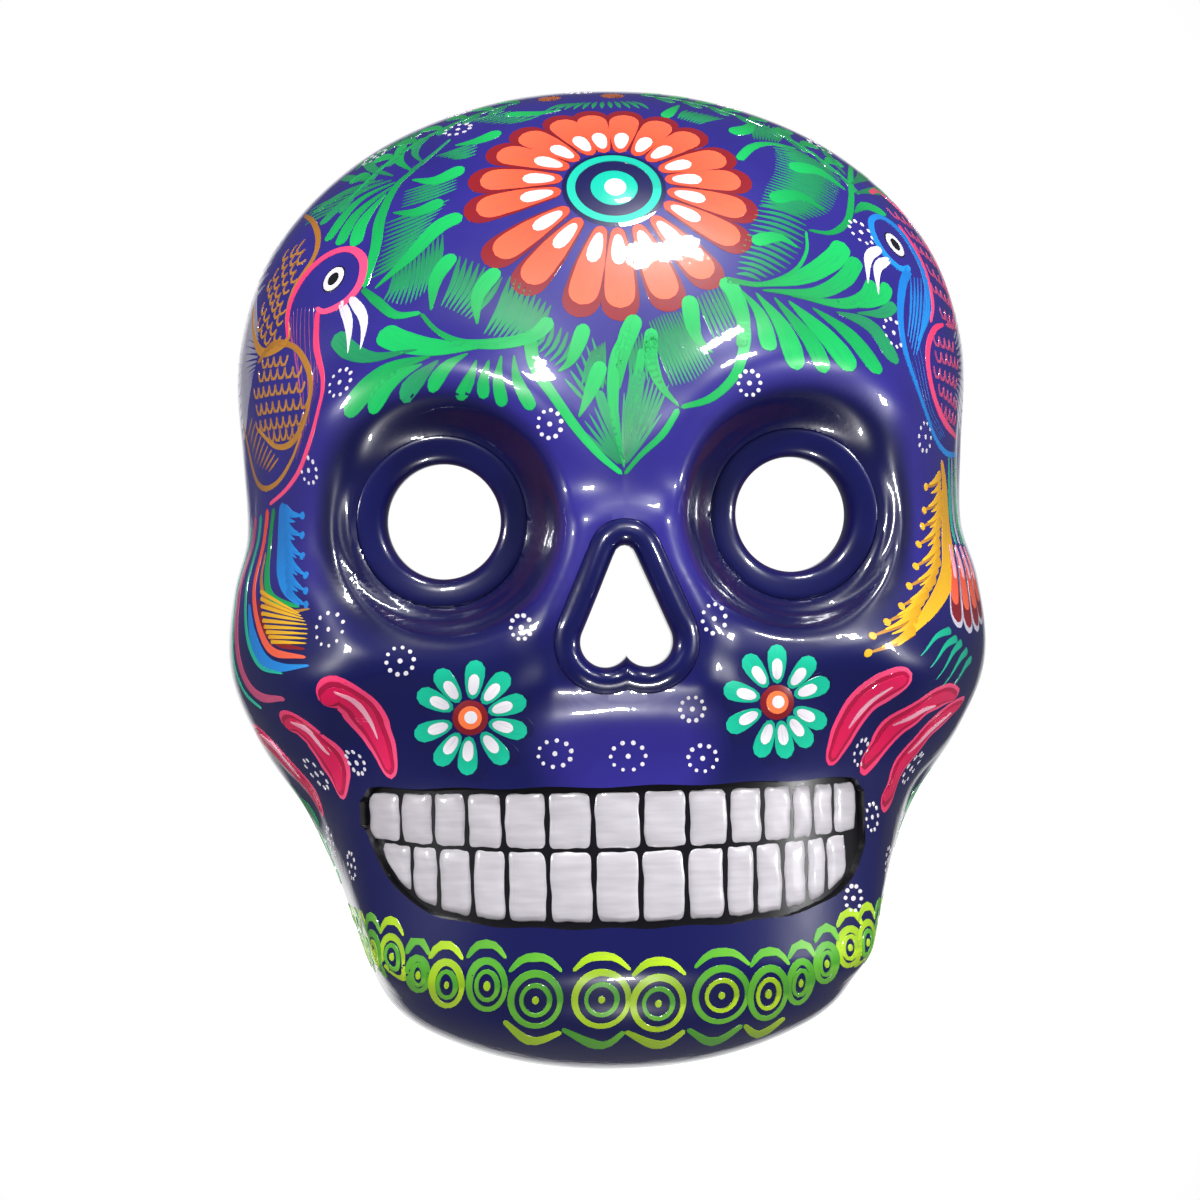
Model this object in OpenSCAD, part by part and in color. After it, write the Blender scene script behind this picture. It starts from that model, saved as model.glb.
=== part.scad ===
// Painted clay skull mask, a wall hanging.
// The flat back rim lies in the plane Y = 0, the face looks along -Y and the crown points +Z.
// The origin is at the middle of the top of the back rim, halfway through its wall.
// Heights called "up" are above mid_z.

/* [Shell] */
// Depth of the shell from the back rim to the front, without the nose
shell_depth = 90; // [84:1:94]
// Thickness of the fired clay wall
wall = 6.5; // [5:0.5:7]

/* [Eyes] */
// Distance from the middle of the face to the middle of each eye
eye_out = 43; // [41:0.5:45]
// Radius of the eye holes
eye_hole_r = 14; // [12:0.5:15]
// Outer radius of the clay coil round each eye hole
eye_rim_r = 21; // [20:0.5:22]
// Depth of the socket floor in front of the back rim
socket_depth = 68; // [65:0.5:71]
// Outward turn of each socket floor, in degrees
eye_turn = 8; // [4:1:12]

/* [Nose] */
// Width of the nose opening
nose_w = 22; // [20:0.5:24]
// Width of the clay coil round the nose opening
nose_coil = 6.5; // [6:0.5:7]
// Height that the nose coil stands in front of the shell
nose_proud = 2.5; // [2:0.5:3]

/* [Teeth] */
// Radius of the row of teeth, seen from above
arch_r = 72; // [71:0.5:73]
// Thickness of a tooth
tooth_t = 3; // [2.5:0.5:3.5]
// Width of the groove between two teeth
groove = 1; // [0.6:0.1:1.4]

/* [Hanging holes] */
// Radius of the two hanging holes
hang_r = 3; // [2.5:0.25:3.5]
// Distance of the hanging holes from the back rim
hang_back = 19; // [16:0.5:24]

/* [Hidden] */
UPPER = [for (i = [1:14]) str("upper_tooth_", i < 10 ? "0" : "", i)];
LOWER = [for (i = [1:14]) str("lower_tooth_", i < 10 ? "0" : "", i)];

BASE = "#2f2474";
NAVY = "#0d0f48";
IVORY = "#c9c3c6";

mid_z = wall / 2 - 125; // middle of the height
pole_up = -8;          // the point that the rings of the shell run round, inside the nose opening
eye_up = 14.5;         // middle of the eyes
cut = 200;             // long enough to cut right through

// Half outline of the back rim: angle above the horizontal at the pole, distance from the pole.
RIM = [[-90, 117], [-70, 117], [-60, 114.5], [-50, 103], [-42, 96], [-32, 92.5], [-20, 95], [-8, 97.5],
       [4, 95.5], [13, 94], [24, 101], [36, 114.5], [48, 125], [62, 131], [78, 133], [90, 133]];

// The teeth: angles of their edges round the arch, from the left end to the right end.
UPPER_EDGES = [-61, -50, -41, -33, -25, -16, -7, 2.5, 11.5, 20, 27.5, 34.5, 40, 46, 54];
LOWER_EDGES = [-56, -47, -40, -32, -24.5, -16, -7, 2, 11, 19, 25.5, 32, 38, 43.5, 50];
arch_y = -14.5;        // middle of the arch
lip_r = arch_r + 1;    // radius of the face round the teeth
row_top = -51.5;
mouth_margin = 1.6;    // black groove round the rows

// Rings and spokes of the outer and inner surface. The outer one has twice the spokes.
OUT_RINGS = 36;
OUT_SPOKES = 100;
IN_RINGS = 24;
IN_SPOKES = OUT_SPOKES / 2;

function clamp01(t) = min(1, max(0, t));
function smooth(a, b, t) = let (u = clamp01((t - a) / (b - a))) u * u * (3 - 2 * u);
function mix(a, b, t) = a + (b - a) * t;
function hill(d, w) = exp(-pow(d / w, 2));
function mound(x, up, cx, cup, rx, rup) = hill(x - cx, rx) * hill(up - cup, rup);

// A smooth curve through the points of a table of [position, value].
function slope(tab, i) = i == 0 || i == len(tab) - 1 ? 0
    : (tab[i + 1][1] - tab[i - 1][1]) / (tab[i + 1][0] - tab[i - 1][0]);
function interval(tab, t, i = 0) = i >= len(tab) - 2 || t <= tab[i + 1][0] ? i : interval(tab, t, i + 1);
function through(tab, t) =
    let (i = interval(tab, t), w = tab[i + 1][0] - tab[i][0], u = (t - tab[i][0]) / w)
    tab[i][1] * (1 + 2 * u) * pow(1 - u, 2) + tab[i + 1][1] * u * u * (3 - 2 * u)
    + slope(tab, i) * w * u * pow(1 - u, 2) + slope(tab, i + 1) * w * u * u * (u - 1);

// Rim distance at an angle, the same on the left and the right.
function rim_r(a) = through(RIM, asin(sin(a)));
// The crown is an ellipsoid, and the chin has a flatter front and a sharper edge.
function squareness(a) = 2.2 + 4.8 * pow(max(0, (-sin(a) - 0.25) / 0.75), 2);

function row_gap(a) = -65.5 + 2 * pow(a / 55, 2);
function row_bottom(a) = -83 + 1.6 * pow(a / 40, 2) + 5 * pow(a / 50, 6);

// Broad modelling of the face, outwards from the plain dome.
function nose_half(up) = 9 + 8 * smooth(15, -15, up);
function nose_off(x, up) = norm([max(0, abs(x) - nose_half(up)), max(0, up - 12, -25 - up)]);
function broad(x, up) =
    let (ax = abs(x), e = norm([ax - eye_out, up - eye_up]), s = (up - eye_up) / max(e, 0.1))
    5 * hill(nose_off(x, up), 7)
    + 2.5 * mound(x, up, 0, 27, 10, 14)
    + 3.5 * hill(e - 36, 8) * smooth(0, 0.8, s)
    + 1.5 * hill(e - 35, 5) * smooth(0.4, -0.4, s)
    + 5 * mound(ax, up, 70, -24, 16, 10)
    - 3 * mound(ax, up, 72, -52, 12, 12)
    - 2 * mound(ax, up, 84, 34, 14, 22)
    + 2.5 * mound(x, up, 0, -107, 36, 8);

// A point of the shell: a is the angle round the pole, s runs from 0 at the pole to 1 at the rim,
// and deep is the distance in from the outer surface.
function face_point(a, s, deep) =
    let (p = squareness(a), r = rim_r(a) * s, x = r * cos(a), up = pole_up + r * sin(a),
         y = -shell_depth * sqrt(max(0, 1 - pow(s, p))),
         g = p * pow(s, p - 1) / rim_r(a),
         n0 = [g * cos(a), 2 * y / pow(shell_depth, 2), g * sin(a)], n = n0 / norm(n0),
         rise = broad(x, up) * smooth(0, 18, -y) - deep,
         q = [x, y, up] + n * rise,
         ax = abs(q[0]), e = norm([ax - eye_out, q[2] - eye_up]),
         floor_y = -socket_depth + deep + (ax - eye_out) * tan(eye_turn),
         into_socket = deep > 0 ? 1 - smooth(17, 46, e) : 1 - smooth(20, 31, e),
         arch = arch_y - sqrt(max(0, pow(lip_r - deep, 2) - q[0] * q[0])),
         into_mouth = smooth(-104, -92, q[2]) * smooth(-22, -52, q[2])
            * smooth(74, 60, ax) * smooth(-8, -40, q[1]),
         y2 = mix(mix(q[1], arch, into_mouth), floor_y, into_socket))
    [q[0], y2, q[2] + mid_z];

// Distance of ring k of n from the pole; the rings are closer together near the rim.
function ring_s(k, n) = pow(sin(90 * k / n), 0.78);

function ring(k, n, spokes, deep) =
    [for (j = [0:spokes - 1]) face_point(360 * j / spokes, ring_s(k, n), deep)];

// The shell as one closed surface: outside, rim and inside.
module shell_solid() {
    outer = [for (k = [1:OUT_RINGS]) each ring(k, OUT_RINGS, OUT_SPOKES, 0)];
    inner = [for (k = [1:IN_RINGS]) each ring(k, IN_RINGS, IN_SPOKES, wall)];
    m = OUT_SPOKES;
    q = IN_SPOKES;
    first_in = len(outer);
    out_pole = first_in + len(inner);
    in_pole = out_pole + 1;
    rim_out = (OUT_RINGS - 1) * m;
    rim_in = first_in + (IN_RINGS - 1) * q;
    polyhedron(
        points = concat(outer, inner, [face_point(0, 0, 0), face_point(0, 0, wall)]),
        faces = concat(
            [for (j = [0:m - 1]) [out_pole, j, (j + 1) % m]],
            [for (k = [0:OUT_RINGS - 2], j = [0:m - 1]) let (a = k * m + j, b = k * m + (j + 1) % m)
                each [[a, a + m, b + m], [a, b + m, b]]],
            [for (j = [0:q - 1]) [in_pole, first_in + (j + 1) % q, first_in + j]],
            [for (k = [0:IN_RINGS - 2], j = [0:q - 1])
                let (a = first_in + k * q + j, b = first_in + k * q + (j + 1) % q)
                each [[a, b + q, a + q], [a, b, b + q]]],
            [for (j = [0:q - 1]) let (o = rim_out + 2 * j, o1 = o + 1, o2 = rim_out + (2 * j + 2) % m,
                                     i = rim_in + j, i1 = rim_in + (j + 1) % q)
                each [[i, o1, o], [i, i1, o1], [i1, o2, o1]]]));
}

// Puts its children on an eye's axis, with +Z along the axis out of the face.
module at_eye(side) {
    translate([side * eye_out, -socket_depth, mid_z + eye_up])
        rotate([90, 0, side * eye_turn]) children();
}

// Heart-shaped nose opening, point up, grown by a margin.
module nose_outline(margin) {
    translate([0, mid_z + pole_up]) for (side = [-1, 1]) hull() {
        translate([0, 13]) circle(r = 2.5 + margin, $fn = 32);
        translate([side * (nose_w / 2 - 6), -7.5]) circle(r = 6 + margin, $fn = 32);
    }
}

// Extrudes an outline drawn in X and Z from one depth to another.
module along_y(y0, y1) {
    translate([0, y1, 0]) rotate([90, 0, 0]) linear_extrude(y1 - y0) children();
}

// Outline of the mouth, seen from the front.
module mouth_outline() {
    left = -63.5;
    right = 57;
    top = [for (a = [left, -40, 0, 40, right]) [lip_r * sin(a), mid_z + row_top + mouth_margin]];
    bottom = [for (a = [right, 52, 44, 32, 16, 0, -16, -32, -44, -52, left])
        [lip_r * sin(a), mid_z + (a == left || a == right ? -64 : row_bottom(a) - mouth_margin)]];
    polygon(concat(top, bottom));
}

module face_shell() {
    color(BASE) difference() {
        shell_solid();
        for (side = [-1, 1]) at_eye(side)
            translate([0, 0, -cut / 4]) cylinder(r = eye_rim_r, h = cut / 2, $fn = 96);
        along_y(-cut, 10) nose_outline(nose_coil);
        difference() {
            along_y(-cut, -30) mouth_outline();
            translate([0, arch_y, mid_z - cut / 2]) cylinder(r = arch_r - tooth_t, h = cut, $fn = 180);
        }
        hang_hole(-12.5);
        hang_hole(3.5);
    }
}

// Hole square to the crown at hang_back from the rim.
module hang_hole(x) {
    up = pole_up + rim_r(90) * pow(1 - pow(hang_back / shell_depth, 2), 1 / squareness(90));
    translate([x, -hang_back, mid_z + up]) rotate([16, 0, 0])
        cylinder(r = hang_r, h = 4 * wall, center = true, $fn = 48);
}

// Dished ring round an eye hole, with a rounded lip at the hole.
module eye_rim(side) {
    lip = 2.5;
    dish = 0.8;
    color(NAVY) at_eye(side) rotate_extrude($fn = 96) {
        polygon([[eye_hole_r, -wall], [eye_rim_r, -wall], [eye_rim_r, dish], [eye_hole_r + lip, 0],
                 [eye_hole_r + lip, -lip], [eye_hole_r, -lip]]);
        translate([eye_hole_r + lip, -lip]) circle(r = lip, $fn = 48);
    }
}

// Coil round the nose opening, with a narrower crest.
module nose_rim() {
    front = shell_depth + 5 + nose_proud;
    step = 1.2;
    color(NAVY) difference() {
        union() {
            along_y(-front, -front + 2 * step) nose_outline(nose_coil - step);
            along_y(-front + step, -front + wall + nose_proud + 2) nose_outline(nose_coil);
        }
        along_y(-front - 1, 0) nose_outline(0);
    }
}

// One tooth: a pad between two angles and two heights, with a pillowed front.
module tooth(a0, a1, low, high) {
    turn = asin(groove / 2 / arch_r);
    back = arch_r - tooth_t;
    color(IVORY) translate([0, arch_y, mid_z]) rotate([0, 0, a0 + turn - 90])
        rotate_extrude(angle = a1 - a0 - 2 * turn, $fn = 180)
            polygon([[back, low], [arch_r - 0.9, low], [arch_r - 0.2, low + 1.2], [arch_r, (low + high) / 2],
                     [arch_r - 0.2, high - 1.2], [arch_r - 0.9, high], [back, high]]);
}

module upper_tooth(i) {
    a0 = UPPER_EDGES[i];
    a1 = UPPER_EDGES[i + 1];
    tooth(a0, a1, row_gap((a0 + a1) / 2) + groove / 2, row_top);
}

module lower_tooth(i) {
    a0 = LOWER_EDGES[i];
    a1 = LOWER_EDGES[i + 1];
    mid = (a0 + a1) / 2;
    tooth(a0, a1, row_bottom(mid), row_gap(mid) - groove / 2);
}

face_shell();
eye_rim(-1);  // eye_rim_left
eye_rim(1);  // eye_rim_right
nose_rim();
for (i = [0:13]) {
    upper_tooth(i);
    lower_tooth(i);
}
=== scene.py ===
"""Painted clay skull mask: the varnished folk-art finish over the packed clay shell."""
import math

import bpy
import numpy as np
from mathutils import Matrix, Vector
from mathutils.bvhtree import BVHTree


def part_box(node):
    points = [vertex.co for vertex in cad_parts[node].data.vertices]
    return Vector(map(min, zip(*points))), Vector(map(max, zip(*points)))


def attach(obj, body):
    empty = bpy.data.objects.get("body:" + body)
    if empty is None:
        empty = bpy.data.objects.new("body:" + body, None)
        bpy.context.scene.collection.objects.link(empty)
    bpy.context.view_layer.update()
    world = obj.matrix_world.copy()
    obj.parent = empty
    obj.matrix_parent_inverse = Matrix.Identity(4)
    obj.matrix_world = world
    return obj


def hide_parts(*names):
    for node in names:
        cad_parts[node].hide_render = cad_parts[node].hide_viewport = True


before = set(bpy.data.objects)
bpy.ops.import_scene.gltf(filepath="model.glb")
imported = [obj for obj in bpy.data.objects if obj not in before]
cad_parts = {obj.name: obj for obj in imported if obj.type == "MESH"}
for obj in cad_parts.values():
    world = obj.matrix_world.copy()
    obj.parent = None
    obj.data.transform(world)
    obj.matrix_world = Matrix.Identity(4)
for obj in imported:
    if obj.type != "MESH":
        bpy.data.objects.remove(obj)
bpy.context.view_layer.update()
bpy.ops.object.select_all(action="DESELECT")
scene = bpy.context.scene
MM = 0.001

# ------------------------------------------------------------------ sizes, in millimetres
# Heights called "up" are above the middle of the mask; MID_Z is that middle in the frame.
RIM_LOW, RIM_HIGH = (np.array(c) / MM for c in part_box("face_shell"))
MID_Z = (RIM_LOW[2] + RIM_HIGH[2]) / 2
WALL = 6.5
SHELL_DEPTH = 90.0
POLE_UP = -8.0
EYE_OUT, EYE_UP = 43.0, 14.5
EYE_HOLE_R, EYE_RIM_R = 14.0, 21.0
SOCKET_DEPTH, EYE_TURN = 68.0, math.radians(8)        # the turn faces each eye a little outwards
ARCH_R, ARCH_Y, TOOTH_T = 72.0, -14.5, 3.0
LIP_R = ARCH_R + 1.0        # radius of the upper lip, which the mouth is cut into
RELIEF_FADE = 18.0          # the modelling of the face fades out over this depth next to the rim
SOCKET_EDGES, LINING_EDGES = (20, 31), (17, 46)     # where an eye socket's floor ends and its slope ends
CROWN_POWER, JAW_POWER = 2.2, 4.8       # how square the dome's section is, and how much squarer at the jaw
RING_SPREAD = 0.78          # sets the dome's rings nearer together towards its rim

# Half outline of the back rim: degrees above the horizontal at the pole, distance from the pole.
RIM = [(-90, 117), (-70, 117), (-60, 114.5), (-50, 103), (-42, 96), (-32, 92.5), (-20, 95), (-8, 97.5),
       (4, 95.5), (13, 94), (24, 101), (36, 114.5), (48, 125), (62, 131), (78, 133), (90, 133)]

# ------------------------------------------------------------------ camera
VIEW_DISTANCE = 1300.0
VIEW_WIDTH = 308.4      # width of the view in the plane of the back rim
VIEW_YAW = math.radians(2.8)
VIEW_ROLL = math.radians(1.3)
VIEW_AIM = (-1.6, 0.0, -5.4)    # from the middle of the back rim


def add_camera():
    """A long lens, level with the mask and a little to its left."""
    aim = Vector(VIEW_AIM) + Vector((0, 0, MID_Z))
    ahead = Vector((math.sin(VIEW_YAW), math.cos(VIEW_YAW), 0))
    right = ahead.cross(Vector((0, 0, 1)))
    up = Vector((0, 0, 1)) * math.cos(VIEW_ROLL) + right * math.sin(VIEW_ROLL)
    right = ahead.cross(up)
    place = (aim - ahead * VIEW_DISTANCE) * MM
    turn = Matrix((right, up, -ahead)).transposed().to_4x4()
    bpy.ops.object.camera_add()
    camera = bpy.context.object
    camera.name = "camera"
    camera.matrix_world = Matrix.Translation(place) @ turn
    camera.data.sensor_width = 36
    camera.data.lens = 36 * VIEW_DISTANCE / VIEW_WIDTH
    camera.data.clip_start, camera.data.clip_end = 0.05, 20
    scene.camera = camera


add_camera()


# ------------------------------------------------------------------ the modelled face
def smooth(a, b, t):
    """A soft step from 0 at a to 1 at b."""
    u = np.clip((t - a) / (b - a), 0, 1)
    return u * u * (3 - 2 * u)


def mix(a, b, t):
    return a + (b - a) * t


def hill(d, w):
    """A bell of width w at distance d from its middle."""
    return np.exp(-(d / w) ** 2)


def mound(x, up, cx, cup, rx, rup):
    return hill(x - cx, rx) * hill(up - cup, rup)


def through(table, t):
    """A smooth curve through the points of a table of (position, value)."""
    at, value = np.array(table, float).T
    slope = np.zeros(len(at))
    slope[1:-1] = (value[2:] - value[:-2]) / (at[2:] - at[:-2])
    i = np.clip(np.searchsorted(at, t) - 1, 0, len(at) - 2)
    w = at[i + 1] - at[i]
    u = (t - at[i]) / w
    return (value[i] * (1 + 2 * u) * (1 - u) ** 2 + value[i + 1] * u * u * (3 - 2 * u)
            + slope[i] * w * u * (1 - u) ** 2 + slope[i + 1] * w * u * u * (u - 1))


def rim_r(a):
    """Distance of the rim from the pole at angle a."""
    return through(RIM, np.degrees(np.arcsin(np.sin(a))))


def squareness(a):
    """The power of the dome's section at angle a: the jaw is squarer than the crown."""
    return CROWN_POWER + JAW_POWER * np.maximum(0, (-np.sin(a) - 0.25) / 0.75) ** 2


def nose_off(x, up):
    """Distance from the wedge that the nose stands on."""
    half = 9 + 8 * smooth(15, -15, up)
    return np.hypot(np.maximum(0, abs(x) - half), np.maximum(0, np.maximum(up - 12, -25 - up)))


def around_eye(x, up):
    """Distance from the nearer eye, and how far above it as a share of that distance."""
    e = np.hypot(abs(x) - EYE_OUT, up - EYE_UP)
    return e, (up - EYE_UP) / np.maximum(e, 0.1)


def broad(x, up):
    """Broad modelling of the face, outwards from the plain dome."""
    ax = abs(x)
    e, s = around_eye(x, up)
    return (5 * hill(nose_off(x, up), 7) + 2.5 * mound(x, up, 0, 27, 10, 14)
            + 3.5 * hill(e - 36, 8) * smooth(0, 0.8, s) + 1.5 * hill(e - 35, 5) * smooth(0.4, -0.4, s)
            + 5 * mound(ax, up, 70, -24, 16, 10) - 3 * mound(ax, up, 72, -52, 12, 12)
            - 2 * mound(ax, up, 84, 34, 14, 22) + 2.5 * mound(x, up, 0, -107, 36, 8))


def fine(x, up):
    """Thumbed ridges under and beside each eye, on the outside only."""
    e, s = around_eye(x, up)
    low = smooth(0.7, -0.2, s)
    return (1.1 * hill(e - 22.4, 1.3) + 1.3 * hill(e - 27.6, 1.7)) * low - 0.5 * hill(e - 25, 1.2) * low


def face_points(a, s, deep):
    """Points of the shell at angle a round the pole and share s of the way to the rim."""
    p = squareness(a)
    rim = rim_r(a)
    x, up = rim * s * np.cos(a), POLE_UP + rim * s * np.sin(a)
    y = -SHELL_DEPTH * np.sqrt(np.maximum(0, 1 - s ** p))
    g = p * s ** (p - 1) / rim
    n = np.stack([g * np.cos(a), 2 * y / SHELL_DEPTH ** 2, g * np.sin(a)])
    n /= np.linalg.norm(n, axis=0)
    rise = broad(x, up) * smooth(0, RELIEF_FADE, -y) - deep
    x, y, up = x + n[0] * rise, y + n[1] * rise, up + n[2] * rise
    e, _ = around_eye(x, up)
    floor = -SOCKET_DEPTH + deep + (abs(x) - EYE_OUT) * math.tan(EYE_TURN)
    into_socket = 1 - smooth(*(LINING_EDGES if deep else SOCKET_EDGES), e)
    arch = ARCH_Y - np.sqrt(np.maximum(0, (LIP_R - deep) ** 2 - x * x))
    into_mouth = smooth(-104, -92, up) * smooth(-22, -52, up) * smooth(74, 60, abs(x)) * smooth(-8, -40, y)
    y = mix(mix(y, arch, into_mouth), floor, into_socket) - (0 if deep else fine(x, up))
    return np.stack([x, y, up + MID_Z], axis=-1)


def select_only(*pieces):
    bpy.ops.object.select_all(action="DESELECT")
    for piece in pieces:
        piece.select_set(True)
    bpy.context.view_layer.objects.active = pieces[0]


def dome(name, rings, spokes, deep):
    """Half a ball pushed into the shape of the face, pole in the nose and open at the rim."""
    bpy.ops.mesh.primitive_uv_sphere_add(segments=spokes, ring_count=2 * rings, radius=1)
    piece = bpy.context.object
    piece.name = name
    bpy.ops.object.mode_set(mode="EDIT")
    bpy.ops.mesh.bisect(plane_co=(0, 0, 0), plane_no=(0, 0, 1), clear_inner=True, threshold=1e-5)
    bpy.ops.object.mode_set(mode="OBJECT")
    co = np.empty(len(piece.data.vertices) * 3)
    piece.data.vertices.foreach_get("co", co)
    co = co.reshape(-1, 3)
    a = np.arctan2(co[:, 1], co[:, 0])
    s = np.clip(np.hypot(co[:, 0], co[:, 1]), 0, 1) ** RING_SPREAD
    piece.data.vertices.foreach_set("co", (face_points(a, s, deep) * MM).ravel())
    # The ball's normals pointed along the pole, which is now the way the face looks.
    bpy.ops.object.mode_set(mode="EDIT")
    bpy.ops.mesh.select_all(action="SELECT")
    if piece.data.polygons[len(piece.data.polygons) // 2].normal.y * (1 if deep else -1) < 0:
        bpy.ops.mesh.flip_normals()
    bpy.ops.object.mode_set(mode="OBJECT")
    return piece


# ------------------------------------------------------------------ materials
def linear(code):
    """Linear RGBA of an sRGB hex colour."""
    rgb = [int(code[i:i + 2], 16) / 255 for i in (1, 3, 5)]
    return [c / 12.92 if c <= 0.04045 else ((c + 0.055) / 1.055) ** 2.4 for c in rgb] + [1.0]


def add(tree, kind, inputs=None, **settings):
    """Adds a node, sets its settings, and gives each named input a value or a link."""
    made = tree.nodes.new(kind)
    for key, value in settings.items():
        setattr(made, key, value)
    for key, value in (inputs or {}).items():
        if isinstance(value, bpy.types.NodeSocket):
            tree.links.new(value, made.inputs[key])
        else:
            made.inputs[key].default_value = value
    return made


def new_material(name):
    """A material, its node tree and its shader."""
    material = bpy.data.materials.new(name)
    material.use_nodes = True
    shader = material.node_tree.nodes["Principled BSDF"]
    return material, material.node_tree, shader


def varnish(shader, roughness=0.35):
    """Acrylic paint under two brushed coats of gloss varnish."""
    shader.inputs["Roughness"].default_value = roughness
    shader.inputs["IOR"].default_value = 1.45
    shader.inputs["Coat Weight"].default_value = 1.0
    shader.inputs["Coat Roughness"].default_value = 0.04
    shader.inputs["Coat IOR"].default_value = 1.5


def ripple(tree, shader):
    """Uneven clay, 12 mm apart, and brush marks in the varnish, 3 mm apart, that break up the highlights."""
    place = add(tree, "ShaderNodeTexCoord").outputs["Object"]
    wide = add(tree, "ShaderNodeTexNoise", {"Vector": place, "Scale": 1 / (12 * MM), "Detail": 2.0})
    fine = add(tree, "ShaderNodeTexNoise", {"Vector": place, "Scale": 1 / (3 * MM), "Detail": 2.0})
    clay = add(tree, "ShaderNodeBump", {"Height": wide.outputs["Fac"], "Strength": 0.3, "Distance": 0.4 * MM})
    gloss = add(tree, "ShaderNodeBump", {"Height": fine.outputs["Fac"], "Strength": 0.3,
                                         "Distance": 0.12 * MM, "Normal": clay.outputs["Normal"]})
    tree.links.new(gloss.outputs["Normal"], shader.inputs["Coat Normal"])
    tree.links.new(clay.outputs["Normal"], shader.inputs["Normal"])
    return place


def ground_paint():
    """Violet-blue acrylic ground, brushed on thinly over fired clay, navy inside the eye sockets: navy paint
    round the eye holes, spread wider as painted shade over the shadowed upper socket walls.
    """
    material, tree, shader = new_material("brushed_violet_acrylic")
    varnish(shader)
    place = ripple(tree, shader)
    cloud = add(tree, "ShaderNodeTexNoise", {"Vector": place, "Scale": 1 / (25 * MM), "Detail": 4.0})
    tone = add(tree, "ShaderNodeMix", {"Factor": cloud.outputs["Fac"], 6: linear("#1f186c"),
                                       7: linear("#332c90")}, data_type="RGBA")
    colour = tone.outputs[2]
    # Navy below the eyes, darker towards the bottom of the face, fading out round the upper lip.
    height = add(tree, "ShaderNodeSeparateXYZ", {0: place}).outputs["Z"]
    low = add(tree, "ShaderNodeMapRange", {"Value": height, 1: (MID_Z - 22) * MM, 2: (MID_Z + 8) * MM,
                                           3: 1.0, 4: 0.0}, interpolation_type="SMOOTHSTEP").outputs[0]
    lip = add(tree, "ShaderNodeVectorMath", {0: place, 1: (0, -90 * MM, (MID_Z - 41) * MM)},
              operation="DISTANCE")
    off_lip = add(tree, "ShaderNodeMapRange", {"Value": lip.outputs["Value"], 1: 14 * MM, 2: 27 * MM},
                  interpolation_type="SMOOTHSTEP").outputs[0]
    deep = add(tree, "ShaderNodeMath", {0: low, 1: off_lip}, operation="MULTIPLY").outputs[0]
    colour = add(tree, "ShaderNodeMix", {"Factor": deep, 6: colour, 7: linear("#0c1050")},
                 data_type="RGBA").outputs[2]
    # Navy round each eye: the socket's navy paint, and beyond it painted shade over the upper socket walls.
    for side in (-1, 1):
        middle = (side * EYE_OUT * MM, -(SOCKET_DEPTH + 3) * MM, (MID_Z + EYE_UP) * MM)
        away = add(tree, "ShaderNodeVectorMath", {0: place, 1: middle}, operation="DISTANCE")
        near = add(tree, "ShaderNodeMapRange", {"Value": away.outputs["Value"], 1: 29 * MM, 2: 37 * MM,
                                                3: 1.0, 4: 0.0}, interpolation_type="SMOOTHSTEP")
        colour = add(tree, "ShaderNodeMix", {"Factor": near.outputs[0], 6: colour, 7: linear("#0a0c42")},
                     data_type="RGBA").outputs[2]
    tree.links.new(colour, shader.inputs["Base Color"])
    return material


def bare_clay():
    """Fired terracotta, smoothed with wet fingers: matt, grainy at 1 mm, with paler dust."""
    material, tree, shader = new_material("fired_terracotta")
    place = add(tree, "ShaderNodeTexCoord").outputs["Object"]
    cloud = add(tree, "ShaderNodeTexNoise", {"Vector": place, "Scale": 1 / (18 * MM), "Detail": 5.0})
    grain = add(tree, "ShaderNodeTexNoise", {"Vector": place, "Scale": 1 / (1.2 * MM), "Detail": 3.0})
    tone = add(tree, "ShaderNodeMix", {"Factor": cloud.outputs["Fac"], 6: linear("#8a4a30"),
                                       7: linear("#b9714d")}, data_type="RGBA")
    bump = add(tree, "ShaderNodeBump", {"Height": grain.outputs["Fac"], "Strength": 0.5,
                                        "Distance": 0.3 * MM})
    tree.links.new(tone.outputs[2], shader.inputs["Base Color"])
    tree.links.new(bump.outputs["Normal"], shader.inputs["Normal"])
    shader.inputs["Roughness"].default_value = 0.9
    return material


def coil_paint():
    """Navy acrylic on the luted rims, thick and very glossy."""
    material, tree, shader = new_material("brushed_navy_acrylic")
    varnish(shader, 0.3)
    place = ripple(tree, shader)
    cloud = add(tree, "ShaderNodeTexNoise", {"Vector": place, "Scale": 1 / (15 * MM), "Detail": 3.0})
    tone = add(tree, "ShaderNodeMix", {"Factor": cloud.outputs["Fac"], 6: linear("#080a3a"),
                                       7: linear("#11155a")}, data_type="RGBA")
    tree.links.new(tone.outputs[2], shader.inputs["Base Color"])
    return material


def line_paint():
    """Black enamel line, flooded into the grooves between the teeth."""
    material, tree, shader = new_material("black_enamel")
    varnish(shader, 0.3)
    ripple(tree, shader)
    shader.inputs["Base Color"].default_value = linear("#0b0a10")
    return material


def tooth_paint():
    """Off-white acrylic, brushed across the teeth, so the strokes show as pale and grey streaks."""
    material, tree, shader = new_material("brushed_offwhite_acrylic")
    varnish(shader)
    place = ripple(tree, shader)
    brushed = add(tree, "ShaderNodeMapping", {"Vector": place,
                                              "Scale": (1 / (12 * MM), 1 / (12 * MM), 1 / (1.6 * MM))})
    streak = add(tree, "ShaderNodeTexNoise", {"Vector": brushed.outputs[0], "Scale": 1.0, "Detail": 3.0})
    tone = add(tree, "ShaderNodeMix", {"Factor": streak.outputs["Fac"], 6: linear("#a8a3aa"),
                                       7: linear("#cfcbd0")}, data_type="RGBA")
    tree.links.new(tone.outputs[2], shader.inputs["Base Color"])
    return material


GROUND, CLAY, LINE, NAVY, TOOTH = ground_paint(), bare_clay(), line_paint(), coil_paint(), tooth_paint()


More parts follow.
